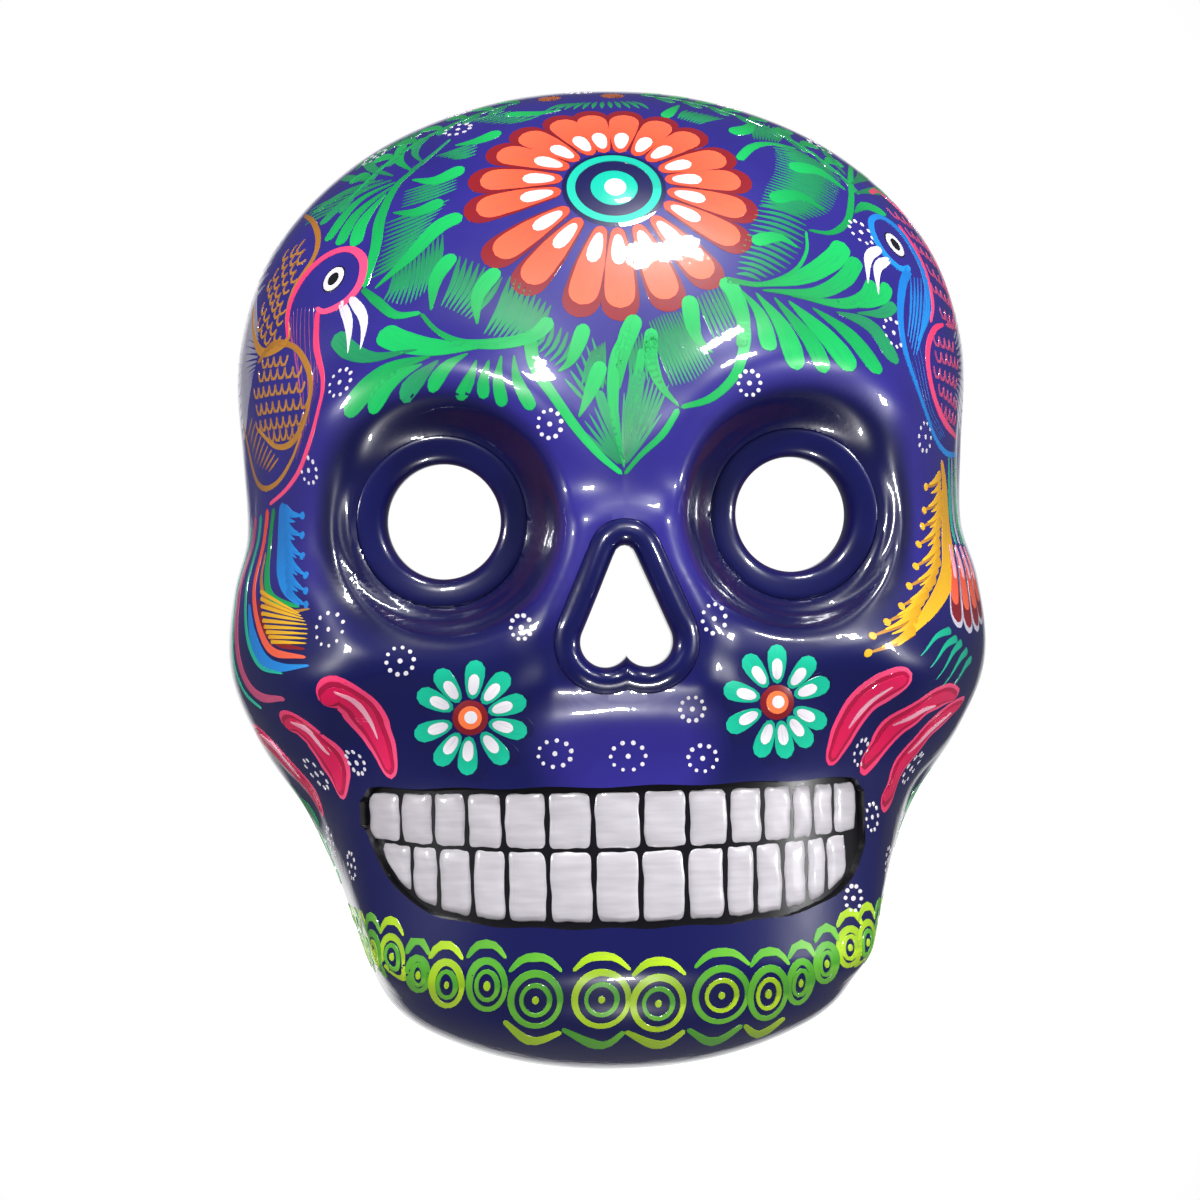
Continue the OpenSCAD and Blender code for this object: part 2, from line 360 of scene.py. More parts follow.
def face_outwards():
    """Turns the active closed piece's faces outwards."""
    bpy.ops.object.mode_set(mode="EDIT")
    bpy.ops.mesh.select_all(action="SELECT")
    bpy.ops.mesh.normals_make_consistent(inside=False)
    bpy.ops.object.mode_set(mode="OBJECT")


def cut_away(piece, cutter, slot):
    """Cuts a closed shape out of a piece; the cut faces take the piece's material slot of that number."""
    for material in piece.data.materials:
        cutter.data.materials.append(material)
    cutter.data.polygons.foreach_set("material_index", [slot] * len(cutter.data.polygons))
    select_only(cutter)
    face_outwards()
    select_only(piece)
    tool = piece.modifiers.new("cut", "BOOLEAN")
    tool.operation, tool.solver, tool.object = "DIFFERENCE", "EXACT", cutter
    bpy.ops.object.modifier_apply(modifier=tool.name)
    bpy.data.objects.remove(cutter)


def loose(points, faces, name="cutter"):
    """A closed shape from points in millimetres and faces."""
    mesh = bpy.data.meshes.new(name)
    mesh.from_pydata([Vector(p) * MM for p in points], [], faces)
    shape = bpy.data.objects.new(name, mesh)
    scene.collection.objects.link(shape)
    return shape


def mesh_piece(name, points, faces, material):
    """A new piece from points and faces, riding on the one body of the mask."""
    piece = loose(points, faces, name)
    piece.data.materials.append(material)
    piece.data.polygons.foreach_set("use_smooth", [True] * len(piece.data.polygons))
    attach(piece, "root")
    return piece


# ------------------------------------------------------------------ outlines shared by the cuts and the rims
def capsule(p, a, b, ra, rb):
    """Distance from points p to a rounded wedge: the hull of a circle at a and a circle at b."""
    p, b = p - a, np.array(b) - a
    h = b @ b
    q = np.stack([abs(p[:, 0] * b[1] - p[:, 1] * b[0]), p @ b], axis=1) / h
    d = ra - rb
    c = np.array([math.sqrt(h - d * d), d])
    k, m, n = c[0] * q[:, 1] - c[1] * q[:, 0], q @ c, (q * q).sum(1)
    return np.where(k < 0, np.sqrt(h * n) - ra,
                    np.where(k > c[0], np.sqrt(h * (n + 1 - 2 * q[:, 1])) - rb, m - ra))


NOSE_TOP, NOSE_TOP_R = np.array([0.0, POLE_UP + 13]), 2.5
NOSE_LOBE, NOSE_LOBE_R = np.array([5.0, POLE_UP - 7.5]), 6.0
NOSE_MIDDLE = np.array([0.0, POLE_UP - 5])


def nose_loop(margin, count=120):
    """The heart-shaped nose opening grown by a margin, as points in x and up."""
    turn = np.linspace(0, 2 * math.pi, count, endpoint=False) + math.pi / 2
    ray = np.stack([np.cos(turn), np.sin(turn)], axis=1)
    near, far = np.zeros(count), np.full(count, 40.0)
    for _ in range(30):
        r = (near + far) / 2
        p = NOSE_MIDDLE + ray * r[:, None]
        off = np.minimum(*(capsule(p, NOSE_TOP, NOSE_LOBE * (side, 1), NOSE_TOP_R, NOSE_LOBE_R)
                           for side in (-1, 1)))
        inside = off < margin
        near, far = np.where(inside, r, near), np.where(inside, far, r)
    return NOSE_MIDDLE + ray * near[:, None]


def row_gap(a):
    """Height of the line between the two rows of teeth."""
    return -65.5 + 2 * (a / 55) ** 2


def row_bottom(a):
    """Height of the lower edge of the teeth."""
    return -83 + 1.6 * (a / 40) ** 2 + 7 * (min(abs(a), 59) / 50) ** 6


ROW_TOP, MOUTH_MARGIN = -51.5, 1.3
MOUTH_LEFT, MOUTH_RIGHT = -61.6, 55.0


def arch_point(a, r, up):
    """A point at angle a, in degrees, round the arch of the teeth."""
    return (r * math.sin(math.radians(a)), ARCH_Y - r * math.cos(math.radians(a)), up + MID_Z)


def mouth_edge(a, top):
    """Height of the upper or lower edge of the black outline round the teeth, at angle a."""
    droop = 3.5 * smooth(5, 0, min(a - MOUTH_LEFT, MOUTH_RIGHT - a)) ** 2
    if top:
        return ROW_TOP + MOUTH_MARGIN + 0.25 * math.sin(a / 3.1) - droop
    return row_bottom(a) - MOUTH_MARGIN - 0.25 * math.sin(a / 2.3) + 0.5 * droop


# ------------------------------------------------------------------ the clay shell
OUT_RINGS, IN_RINGS, SPOKES = 132, 88, 320
shell = dome("mask_shell", OUT_RINGS, SPOKES, 0)
SKIN = BVHTree.FromObject(shell, bpy.context.evaluated_depsgraph_get())     # for laying paint and rims on
lining = dome("lining", IN_RINGS, SPOKES, WALL)
for piece, number in ((shell, 0), (lining, 1)):
    piece.data.materials.append(GROUND)
    piece.data.materials.append(CLAY)
    piece.data.materials.append(LINE)
    piece.data.polygons.foreach_set("material_index", [number] * len(piece.data.polygons))
select_only(shell, lining)
bpy.ops.object.join()
bpy.ops.object.mode_set(mode="EDIT")
bpy.ops.mesh.select_all(action="DESELECT")
bpy.ops.mesh.select_mode(type="EDGE")
bpy.ops.mesh.select_non_manifold(extend=False, use_wire=False, use_multi_face=False, use_non_contiguous=False,
                                 use_verts=False)
bpy.ops.mesh.bridge_edge_loops()
bpy.ops.object.mode_set(mode="OBJECT")
shell = bpy.context.object


def prism(loop, front, back):
    """A closed shape along Y from an outline in x and up."""
    count = len(loop)
    points = [(x, y, up + MID_Z) for y in (front, back) for x, up in loop]
    sides = [(i, (i + 1) % count, (i + 1) % count + count, i + count) for i in range(count)]
    return loose(points, sides + [tuple(range(count))[::-1], tuple(range(count, 2 * count))])


def rod(place, turn, r, length):
    """A closed rod with its middle at place, turned from +Z, in millimetres and radians."""
    bpy.ops.mesh.primitive_cylinder_add(vertices=96, radius=r * MM, depth=length * MM,
                                        location=Vector(place) * MM, rotation=turn)
    bpy.ops.object.transform_apply()
    return bpy.context.object


EYE_MIDDLE = {side: (side * EYE_OUT, -SOCKET_DEPTH, MID_Z + EYE_UP) for side in (-1, 1)}
for side, middle in EYE_MIDDLE.items():
    cut_away(shell, rod(middle, (math.pi / 2, 0, side * EYE_TURN), EYE_RIM_R, 60), 0)
HANG_BACK, HANG_TILT, HANG_R = 19.0, math.radians(16), 3.0
HANG_UP = POLE_UP + RIM[-1][1] * (1 - (HANG_BACK / SHELL_DEPTH) ** 2) ** (1 / CROWN_POWER)
HANG_PLACES = (-12.5, 3.5)
for x in HANG_PLACES:
    cut_away(shell, rod((x, -HANG_BACK, MID_Z + HANG_UP), (HANG_TILT, 0, 0), HANG_R, 4 * WALL), 1)
NOSE_COIL = 6.5             # width of the coil round the nose opening
cut_away(shell, prism(nose_loop(NOSE_COIL), -130, -20), 1)

# The mouth is a shallow pocket that follows the arch, black inside.
POCKET_DEPTH, POCKET_REACH, POCKET_STEPS = 0.9, 14, 80
corners = ((ARCH_R - POCKET_DEPTH, False), (ARCH_R - POCKET_DEPTH, True),
           (ARCH_R + POCKET_REACH, True), (ARCH_R + POCKET_REACH, False))
columns = [arch_point(a, r, mouth_edge(a, top))
           for a in np.linspace(MOUTH_LEFT, MOUTH_RIGHT, POCKET_STEPS + 1) for r, top in corners]
walls = [(4 * k + i, 4 * k + (i + 1) % 4, 4 * k + 4 + (i + 1) % 4, 4 * k + 4 + i)
         for k in range(POCKET_STEPS) for i in range(4)]
far_end = tuple(4 * POCKET_STEPS + i for i in range(4))
cut_away(shell, loose(columns, walls + [(3, 2, 1, 0), far_end]), 2)
select_only(shell)
bpy.ops.object.shade_smooth_by_angle(angle=math.radians(40))
RIM_BAND = 4.0
for face in shell.data.polygons:        # the back rim is left bare, as the mask stands on it in the kiln
    if face.normal.y > 0.5 and face.center.y > -RIM_BAND * MM:
        face.use_smooth, face.material_index = False, 1
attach(shell, "root")
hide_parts("face_shell")


# ------------------------------------------------------------------ rims and teeth
def revolve(name, profile, middle, turn, steps, material):
    """A closed ring: a profile of (radius, height) spun about +Z, then turned and placed."""
    matrix = Matrix.Translation(middle) @ Matrix.Rotation(turn, 4, "Z") @ Matrix.Rotation(math.pi / 2, 4, "X")
    bpy.ops.mesh.primitive_circle_add(vertices=len(profile), radius=1)
    ring = bpy.context.object
    for corner, (r, h) in zip(ring.data.vertices, profile):
        corner.co = (r, 0, h)
    bpy.ops.object.mode_set(mode="EDIT")
    bpy.ops.mesh.select_all(action="SELECT")
    bpy.ops.mesh.spin(steps=steps, angle=2 * math.pi, center=(0, 0, 0), axis=(0, 0, 1))
    bpy.ops.mesh.select_all(action="SELECT")
    bpy.ops.mesh.remove_doubles(threshold=1e-4)
    bpy.ops.object.mode_set(mode="OBJECT")
    ring.data.transform(Matrix.Scale(MM, 4) @ matrix)
    face_outwards()
    bpy.ops.object.shade_smooth_by_angle(angle=math.radians(60))
    ring.name = name
    ring.data.materials.append(material)
    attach(ring, "root")
    return ring


# A dished collar with a soft lip at the hole; it turns down to the seat at its outer edge.
COLLAR = [(EYE_RIM_R, -6.5), (EYE_RIM_R, 0.1), (20.5, 0.4), (19.6, 0.45), (18.4, 0.3), (17.2, 0.1),
          (16.2, -0.15), (15.4, -0.6), (14.7, -1.3), (14.2, -2.3), (EYE_HOLE_R, -3.5), (EYE_HOLE_R, -6.5)]
for side, label in ((-1, "left"), (1, "right")):
    collar = revolve("eye_collar_" + label, COLLAR, EYE_MIDDLE[side], side * EYE_TURN, 120, NAVY)
    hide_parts("eye_rim_" + label)


def skin_depth(x, up):
    """Where the front of the shell is, along Y, at a place seen from the front."""
    hit = SKIN.ray_cast(Vector((x, -150, up + MID_Z)) * MM, Vector((0, 1, 0)))
    return hit[0].y / MM


# The nose coil: margins outside the opening, and how proud of the face each line of it stands.
NOSE_LINES = [(NOSE_COIL, -1.0), (6.3, 0.2), (5.6, 1.1), (4.6, 2.0), (3.5, 2.5), (2.5, 2.4), (1.6, 1.8),
              (0.8, 0.8), (0.25, -0.6), (0, -2.5), (0, -7.5)]
NOSE_BACK = -86.5
lines = []
outer = nose_loop(NOSE_COIL)
for margin, proud in NOSE_LINES:
    loop = nose_loop(margin)
    lines += [(x, skin_depth(*edge) - proud, up + MID_Z) for (x, up), edge in zip(loop, outer)]
for margin in (0, NOSE_COIL):
    lines += [(x, NOSE_BACK, up + MID_Z) for x, up in nose_loop(margin)]
count = len(outer)
rows = len(lines) // count
coil = mesh_piece("nose_coil", lines, [
    (r * count + i, r * count + (i + 1) % count, (r + 1) % rows * count + (i + 1) % count,
     (r + 1) % rows * count + i) for r in range(rows) for i in range(count)], NAVY)
select_only(coil)
face_outwards()
bpy.ops.object.shade_smooth_by_angle(angle=math.radians(60))
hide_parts("nose_rim")

# Angles of the tooth edges round the arch, from the left end to the right end.
UPPER_EDGES = [-61, -50, -41, -33, -25, -16, -7, 2.5, 11.5, 20, 27.5, 34.5, 40, 46, 54]
LOWER_EDGES = [-56, -47, -40, -32, -24.5, -16, -7, 2, 11, 19, 25.5, 32, 38, 43.5, 50]
GROOVE = 0.6


def wave(t, seed):
    """A small uneven wobble, as a hand-cut edge has."""
    return (0.5 * math.sin(1.9 * t + 2.3 * seed) + 0.35 * math.sin(4.3 * t + 1.1 * seed)
            + 0.2 * math.sin(9 * t + seed))


def tooth(name, a0, a1, low, high, seed):
    """A clay pad pressed onto the arch: pillowed front, soft edges, sides cut by hand.

    low and high give its lower and upper edge at an angle round the arch."""
    bpy.ops.mesh.primitive_cube_add(size=2)
    pad = bpy.context.object
    pad.name = name
    bpy.ops.object.mode_set(mode="EDIT")
    bpy.ops.mesh.select_all(action="SELECT")
    bpy.ops.mesh.subdivide(number_cuts=7)
    bpy.ops.object.mode_set(mode="OBJECT")
    half = (a1 - a0) / 2 - math.degrees(GROOVE / 2 / ARCH_R)
    for corner in pad.data.vertices:
        u, w, v = corner.co
        edge_u, edge_v = wave(2 * v, seed) * 0.3, wave(2 * u, seed + 5) * 0.25
        a = (a0 + a1) / 2 + u * (half - 0.35 * max(0, -w)) + math.degrees(edge_u / ARCH_R)
        up = mix(low(a), high(a), (v * (1 - 0.03 * max(0, -w)) + 1) / 2) + edge_v * abs(v) ** 3
        front = ARCH_R - 0.5 * (abs(u) ** 5 + abs(v) ** 6) + 0.12 * wave(1.5 * v + u, seed + 2)
        corner.co = Vector(arch_point(a, mix(front, ARCH_R - TOOTH_T, (w + 1) / 2), up)) * MM
    pad.data.materials.append(TOOTH)
    edges = pad.modifiers.new("soft", "SUBSURF")
    edges.levels = edges.render_levels = 1
    bpy.ops.object.modifier_apply(modifier=edges.name)
    face_outwards()
    bpy.ops.object.shade_smooth()
    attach(pad, "root")
    return pad


for row, edges in (("upper", UPPER_EDGES), ("lower", LOWER_EDGES)):
    for i, (a0, a1) in enumerate(zip(edges, edges[1:]), 1):
        if row == "upper":
            pad = tooth(f"upper_pad_{i:02d}", a0, a1, lambda a: row_gap(a) + GROOVE / 2, lambda a: ROW_TOP, i)
        else:
            pad = tooth(f"lower_pad_{i:02d}", a0, a1, row_bottom, lambda a: row_gap(a) - GROOVE / 2, i + 20)
        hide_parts(f"{row}_tooth_{i:02d}")


# ------------------------------------------------------------------ brushes
FIRST_COAT, NEXT_COAT, SUNK = 0.05, 0.045, 0.25     # heights of the paint over the skin, in millimetres
STROKES = {}                                        # name of a piece -> its strokes
SHEET_MIDDLE, SHEET_FAR = Vector((0, -30, MID_Z)), 150    # every sheet's middle, and how far off it is held


def sheet(yaw, pitch):
    """A flat sheet held before the mask: what is painted on it lands on the skin straight behind."""
    a, b = math.radians(yaw), math.radians(pitch)
    out = Vector((math.sin(a) * math.cos(b), -math.cos(a) * math.cos(b), math.sin(b)))
    across = Vector((math.cos(a), math.sin(a), 0))
    return SHEET_MIDDLE, across, out.cross(across), out, SHEET_FAR


FRONT, FOREHEAD = sheet(0, 0), sheet(0, 38)
TOP = sheet(0, 78)
LEFT, RIGHT = sheet(-58, 8), sheet(58, 8)
LEFT_CHEEK, RIGHT_CHEEK = sheet(-35, -15), sheet(35, -15)


def land(where, u, v, lift):
    """The place on the skin, raised by lift, or None past the edge of the mask."""
    place, across, along, out, far = where
    hit, normal, _, _ = SKIN.ray_cast((place + across * u + along * v + out * far) * MM, -out)
    return None if hit is None else hit / MM + normal * lift


def smooth_line(path, closed):
    """Closely spaced points of a smooth line through the path's points."""
    p = np.array(path, float)
    p = np.vstack([p[-1:], p, p[:2]] if closed else [2 * p[:1] - p[1:2], p, 2 * p[-1:] - p[-2:-1]])
    t = np.linspace(0, 1, 12, endpoint=False)[:, None]
    parts = []
    for a, b, c, d in zip(p, p[1:], p[2:], p[3:]):
        low_powers = 2 * b + (c - a) * t + (2 * a - 5 * b + 4 * c - d) * t ** 2
        parts.append(0.5 * (low_powers + (3 * b - a - 3 * c + d) * t ** 3))
    return np.vstack(parts + [p[-2:-1]])


def keep(piece, points, faces, uv, reach):
    """Adds one closed stroke to a piece, if all of it landed on the skin."""
    if any(p is None for p in points):
        return
    store = STROKES.setdefault(piece, ([], [], [], []))
    first = len(store[0])
    store[0].extend(points)
    store[1].extend([tuple(i + first for i in face) for face in faces])
    store[2].extend(uv)
    store[3].extend(reach)


def brush(piece, where, path, widths, coat=0, closed=False):
    """One stroke along a smooth line, with its widths given at even steps along it.

    A wider stroke gets closer rows and more points across, so that it follows the curve of the skin."""
    line = smooth_line(path, closed)
    run = np.concatenate([[0], np.cumsum(np.hypot(*np.diff(line, axis=0).T))])
    length = run[-1]
    wide = max(widths)
    rows = max(8, int(length / (1.7 if wide < 1.3 else 1.1 if wide < 7 else 0.8)))
    share = np.linspace(0, 1, rows, endpoint=not closed)
    if not closed:
        share = mix(share, (1 - np.cos(math.pi * share)) / 2, min(1, 12 / rows))
    centre = np.stack([np.interp(share * length, run, line[:, k]) for k in (0, 1)], axis=1)
    ahead = np.stack([np.interp(share * length + 0.3, run, line[:, k]) - np.interp(share * length - 0.3,
                                                                                   run, line[:, k])
                      for k in (0, 1)], axis=1)
    side = np.stack([-ahead[:, 1], ahead[:, 0]], axis=1) / np.maximum(np.hypot(*ahead.T), 1e-6)[:, None]
    half = np.interp(share, np.linspace(0, 1, len(widths)), widths) / 2
    if not closed:
        end = np.minimum(share, 1 - share) * length / np.maximum(half, 0.05)
        half = np.maximum(half * np.sqrt(1 - (1 - np.minimum(end, 1)) ** 2), 0.03)
    top = 1 if wide < 0.9 else 3 if wide < 3.5 else 5 if wide < 7 else 13
    over = np.concatenate([[-1], np.linspace(-1, 1, top) if top > 1 else [0], [1]])
    edge = np.concatenate([[-0.1], np.linspace(0.08, -0.08, top) if top > 1 else [0], [0.1]])
    rise = FIRST_COAT + NEXT_COAT * coat
    lifts = [-SUNK, *[rise] * top, -SUNK]
    start = 3.7 * (len(STROKES.get(piece, ([],))[0]) % 101)
    points = [land(where, *(c + s * (h * o + e * min(1, h / 0.3))), lift)
              for c, s, h in zip(centre, side, half) for o, e, lift in zip(over, edge, lifts)]
    m = len(over)
    faces = [(r * m + i, r * m + (i + 1) % m, (r + 1) % rows * m + (i + 1) % m, (r + 1) % rows * m + i)
             for r in range(rows if closed else rows - 1) for i in range(m)]
    if not closed:
        faces += [tuple(range(m))[::-1], tuple(range((rows - 1) * m, rows * m))]
    keep(piece, points, faces, [(start + h * o, start + s * length) for s, h in zip(share, half)
                                for o in over], [s for s in share for _ in over])


def dab(piece, where, u, v, r, tall=1.0, coat=0, sides=12):
    """A round touch of the brush, low and domed."""
    rise = FIRST_COAT + NEXT_COAT * coat
    points, uv = [land(where, u, v, rise + 0.03)], [(u, v)]
    for share, lift in ((0.8, rise), (1, -SUNK)):
        for k in range(sides):
            a = 2 * math.pi * k / sides
            du, dv = r * share * math.cos(a), r * tall * share * math.sin(a)
            points.append(land(where, u + du, v + dv, lift))
            uv.append((u + du, v + dv))
    nxt = [(k + 1) % sides for k in range(sides)]
    faces = [(0, 1 + k, 1 + nxt[k]) for k in range(sides)]
    faces += [(1 + k, 1 + sides + k, 1 + sides + nxt[k], 1 + nxt[k]) for k in range(sides)]
    faces.append(tuple(range(2 * sides, sides, -1)))
    keep(piece, points, faces, uv, [0.5] * len(points))


def circle(u, v, r, tall=1.0, count=12):
    """Points of a ring, stretched upwards by tall."""
    return [(u + r * math.cos(2 * math.pi * k / count), v + r * tall * math.sin(2 * math.pi * k / count))
            for k in range(count)]


def polar(u, v, angle, r):
    """The point at a distance and an angle in degrees from (u, v)."""
    return (u + r * math.cos(math.radians(angle)), v + r * math.sin(math.radians(angle)))


def along(path, count, closed=False):
    """Evenly spaced points along a smooth line."""
    line = smooth_line(path, closed)
    run = np.concatenate([[0], np.cumsum(np.hypot(*np.diff(line, axis=0).T))])
    return [np.array([np.interp(s, run, line[:, 0]), np.interp(s, run, line[:, 1])])
            for s in np.linspace(0, run[-1], count)]


def hatch(piece, where, start, end, count, widths, coat=0, bend=(0, 0)):
    """A row of fine strokes from one line to another, each bent by the same amount."""
    for a, b in zip(along(start, count), along(end, count)):
        brush(piece, where, [a, (a + b) / 2 + np.array(bend), b], widths, coat)


# ------------------------------------------------------------------ the painted motifs
def rosette():
    """The big flower on the forehead: coral petals with dark red tips round a ringed turquoise eye."""
    u, v = 0.5, 55.2
    disc_u, disc_v = 1.3, 58.0
    for angle in (97, 81, 64, 48, 29, 13, -5, -23, -47, -68, -89, -106, -131, -151, -178, 164, 145, 129, 111):
        tip = polar(u, v, angle, 36.3)
        root = polar(disc_u, disc_v, angle, 13)
        at = [np.array(root) + (np.array(tip) - np.array(root)) * s for s in (0, 0.45, 0.87, 0.92, 1)]
        brush("rosette_red", FOREHEAD, [at[0], at[1], at[4]], (3.5, 6.4, 8.6, 9.6, 9.2))
        brush("rosette_coral", FOREHEAD, [at[0], at[1], at[2]], (2.8, 5.0, 6.8, 7.6, 7.2), 1)
        glow = [np.array(root) + (np.array(tip) - np.array(root)) * s for s in (0.08, 0.42)]
        brush("rosette_white", FOREHEAD, glow, (1.8, 3.2, 3.9, 3.0), 2)
    dab("rosette_navy", FOREHEAD, disc_u, disc_v, 14.6, coat=3, sides=48)
    brush("rosette_turquoise", FOREHEAD, circle(disc_u, disc_v, 10.6, count=24), (2.2, 2.2), 4, closed=True)
    dab("rosette_turquoise", FOREHEAD, disc_u, disc_v, 6.8, coat=4, sides=32)
    dab("rosette_white", FOREHEAD, disc_u + 0.3, disc_v, 3.3, 1.1, coat=5, sides=20)


def cheek_flower(u, v, angles):
    """A teal daisy with a navy shadow, and a red and orange middle."""
    for angle in angles:
        root, tip = polar(u, v, angle, 4.5), polar(u, v, angle, 14)
        low, far = polar(u + 0.7, v - 1.0, angle + 7, 5), polar(u + 0.7, v - 1.0, angle + 7, 14.6)
        brush("flower_navy", FRONT, [low, far], (2.5, 5.0, 6.0, 5.5))
        brush("flower_teal", FRONT, [root, tip], (2.4, 4.2, 5.0, 4.6), 1)
        brush("flower_white", FRONT, [polar(u, v, angle, 5.5), polar(u, v, angle, 10.6)],
              (1.7, 2.6, 2.8, 2.2), 2)
    dab("flower_red", FRONT, u, v, 4.9, coat=2, sides=24)
    dab("flower_orange", FRONT, u, v, 3.4, coat=3, sides=20)
    dab("flower_white", FRONT, u + 0.2, v + 0.1, 1.9, coat=4, sides=16)


def dotted_flower(where, u, v, r, tall=1.0, count=10):
    """A ring of white touches of the brush round one more."""
    dab("dots_white", where, u, v, 0.75, coat=1, sides=8)
    for k in range(count):
        a = 2 * math.pi * (k + 0.3 * math.sin(u)) / count
        dab("dots_white", where, u + r * math.cos(a), v + r * tall * math.sin(a),
            0.62 + 0.08 * math.sin(7 * k + u), coat=1, sides=8)


def chin_ring(k, where, u, v, r, tall, outer, inner):
    """Two rings and a dot, with a scallop over them."""
    turn = k % 2
    brush("jaw_" + outer, where, circle(u, v, r - 0.4, tall), (1.6, 2.0, 1.5, 1.3), 2 * turn, closed=True)
    brush("jaw_" + inner, where, circle(u, v, r * 0.54, tall), (1.4, 1.1, 1.0, 1.3), 4, closed=True)
    dab("jaw_lime", where, u, v, 1.0 if r > 4 else 0.7, tall, coat=4, sides=10)
    top = v + r * tall
    brush("jaw_" + outer, where, [(u - r, top), (u - r / 2, top + 2.9), (u, top + 3.5),
                                  (u + r / 2, top + 2.9), (u + r, top)], (0.9, 1.8, 2.3, 1.6, 0.8),
          1 + 2 * turn)


def jaw_border():
    """Linked rings along the chin, lime and leaf green, with a scallop above each and bold ones below."""
    for k, ring in enumerate((
            (-51.2, -95.8, 2.8, 1.8, "green", "green"),
            (-44.4, -98, 4.0, 1.6, "lime", "green"), (-34.8, -98, 4.7, 1.45, "green", "green"),
            (-23.2, -101.6, 6.3, 1.15, "green", "green"), (-7.4, -101.6, 6.9, 1.06, "lime", "green"),
            (6.3, -103, 6.5, 1.1, "lime", "green"), (21.8, -101.6, 6.9, 1.06, "green", "lime"),
            (33.6, -102, 5.0, 1.45, "green", "lime"), (41.8, -99.8, 3.5, 1.8, "green", "green"),
            (48.4, -95.4, 3.2, 1.7, "green", "green"), (54.8, -92, 3.5, 1.5, "lime", "lime"))):
        chin_ring(k, FRONT, *ring)
    for where, side, first, count in ((LEFT, -1, 5.5, 6), (RIGHT, 1, 9.5, 5)):
        for k in range(count):
            back = first + 9.2 * k
            chin_ring(k, where, side * back, -100 + 0.06 * back, 4.7, 1.15,
                      *(("green", "lime") if k % 2 else ("lime", "green")))
    for colour, left, low, right in (("lime", (-30.8, -107.2), (-24, -112.8), (-16.8, -110)),
                                     ("green", (-16.8, -109.2), (-7.2, -114), (-1.6, -110)),
                                     ("lime", (-1.6, -110), (7.2, -114.4), (13.2, -110.4)),
                                     ("green", (13.6, -110), (20.8, -114.4), (27.6, -110)),
                                     ("lime", (28, -110), (32.8, -113.6), (38.8, -109.2))):
        brush("jaw_" + colour, FRONT, [left, low, right], (1.2, 2.8, 1.3), 1)


def carry(here, there, path):
    """The same places on the skin, read on another sheet."""
    place, across, along, _, _ = there
    on_skin = [land(here, u, v, 0) - place for u, v in path]
    return [(p.dot(across), p.dot(along)) for p in on_skin]


def facing(where, path):
    """A flat sheet turned to face the skin under a path."""
    place, across, along, out, far = where
    rays = [SKIN.ray_cast((place + across * u + along * v + out * far) * MM, -out) for u, v in path]
    normal = sum((ray[1] for ray in rays), Vector()).normalized()
    return sheet(math.degrees(math.atan2(normal.x, -normal.y)), math.degrees(math.asin(normal.z)))


def comma_petal(seen, path, widths, streak):
    """A curled petal in three magenta bands with a pale streak, on its own sheet."""
    where = facing(seen, path)
    path = carry(seen, where, path)
    for piece, share, coat in (("petals_pink", 1, 0), ("petals_crimson", 0.72, 3),
                               ("petals_magenta", 0.46, 6)):
        line = along(path, 7)
        pull = (1 - share) * 0.22
        brush(piece, where, along([line[0] * (1 - pull) + line[3] * pull, *line[1:6],
                                   line[6] * (1 - pull) + line[3] * pull], 6),
              [w * share for w in widths], coat)
    brush("petals_pale", where, carry(seen, where, streak), (0.6, 2.0, 1.6, 0.5), 9)


def cheek_petals():
    """Three petals on each cheek, from the mouth outwards."""
    comma_petal(FRONT, [(-74, -28), (-67, -27), (-60.5, -36), (-56.5, -48)], (7, 11, 13, 11, 5),
                [(-70, -26), (-64.5, -29), (-59.5, -38)])
    comma_petal(LEFT_CHEEK, [(-62, -18), (-54, -18), (-49, -26), (-51, -39)], (5, 9, 11, 10, 5),
                [(-57, -17), (-51, -19), (-48, -26)])
    comma_petal(LEFT_CHEEK, [(-85, -27), (-77, -27), (-70, -35), (-67, -48)], (6, 9, 11, 10, 5),
                [(-79, -25), (-72, -28), (-68, -36)])
    comma_petal(FRONT, [(50, -47), (54, -39), (61, -30), (71, -25)], (4, 10, 12, 12, 7),
                [(55, -38), (60, -32), (66, -28)])
    comma_petal(RIGHT_CHEEK, [(32, -33), (39, -27), (44, -17), (54, -14), (64, -15)], (4, 9, 10, 8, 3),
                [(40, -21), (46, -17), (52, -16)])
    comma_petal(RIGHT_CHEEK, [(42, -43), (51, -37), (53, -27), (60, -21), (71, -18)], (4, 8, 9, 8, 3),
                [(51, -30), (56, -24), (64, -20)])


rosette()
cheek_flower(-37.5, -33, (123, 83, 49, 17, -16, -53, -94, -125, -162, 153))
cheek_flower(36.5, -31, (90, 49, 19, -25, -52, -80, -109, -154, 164, 124))
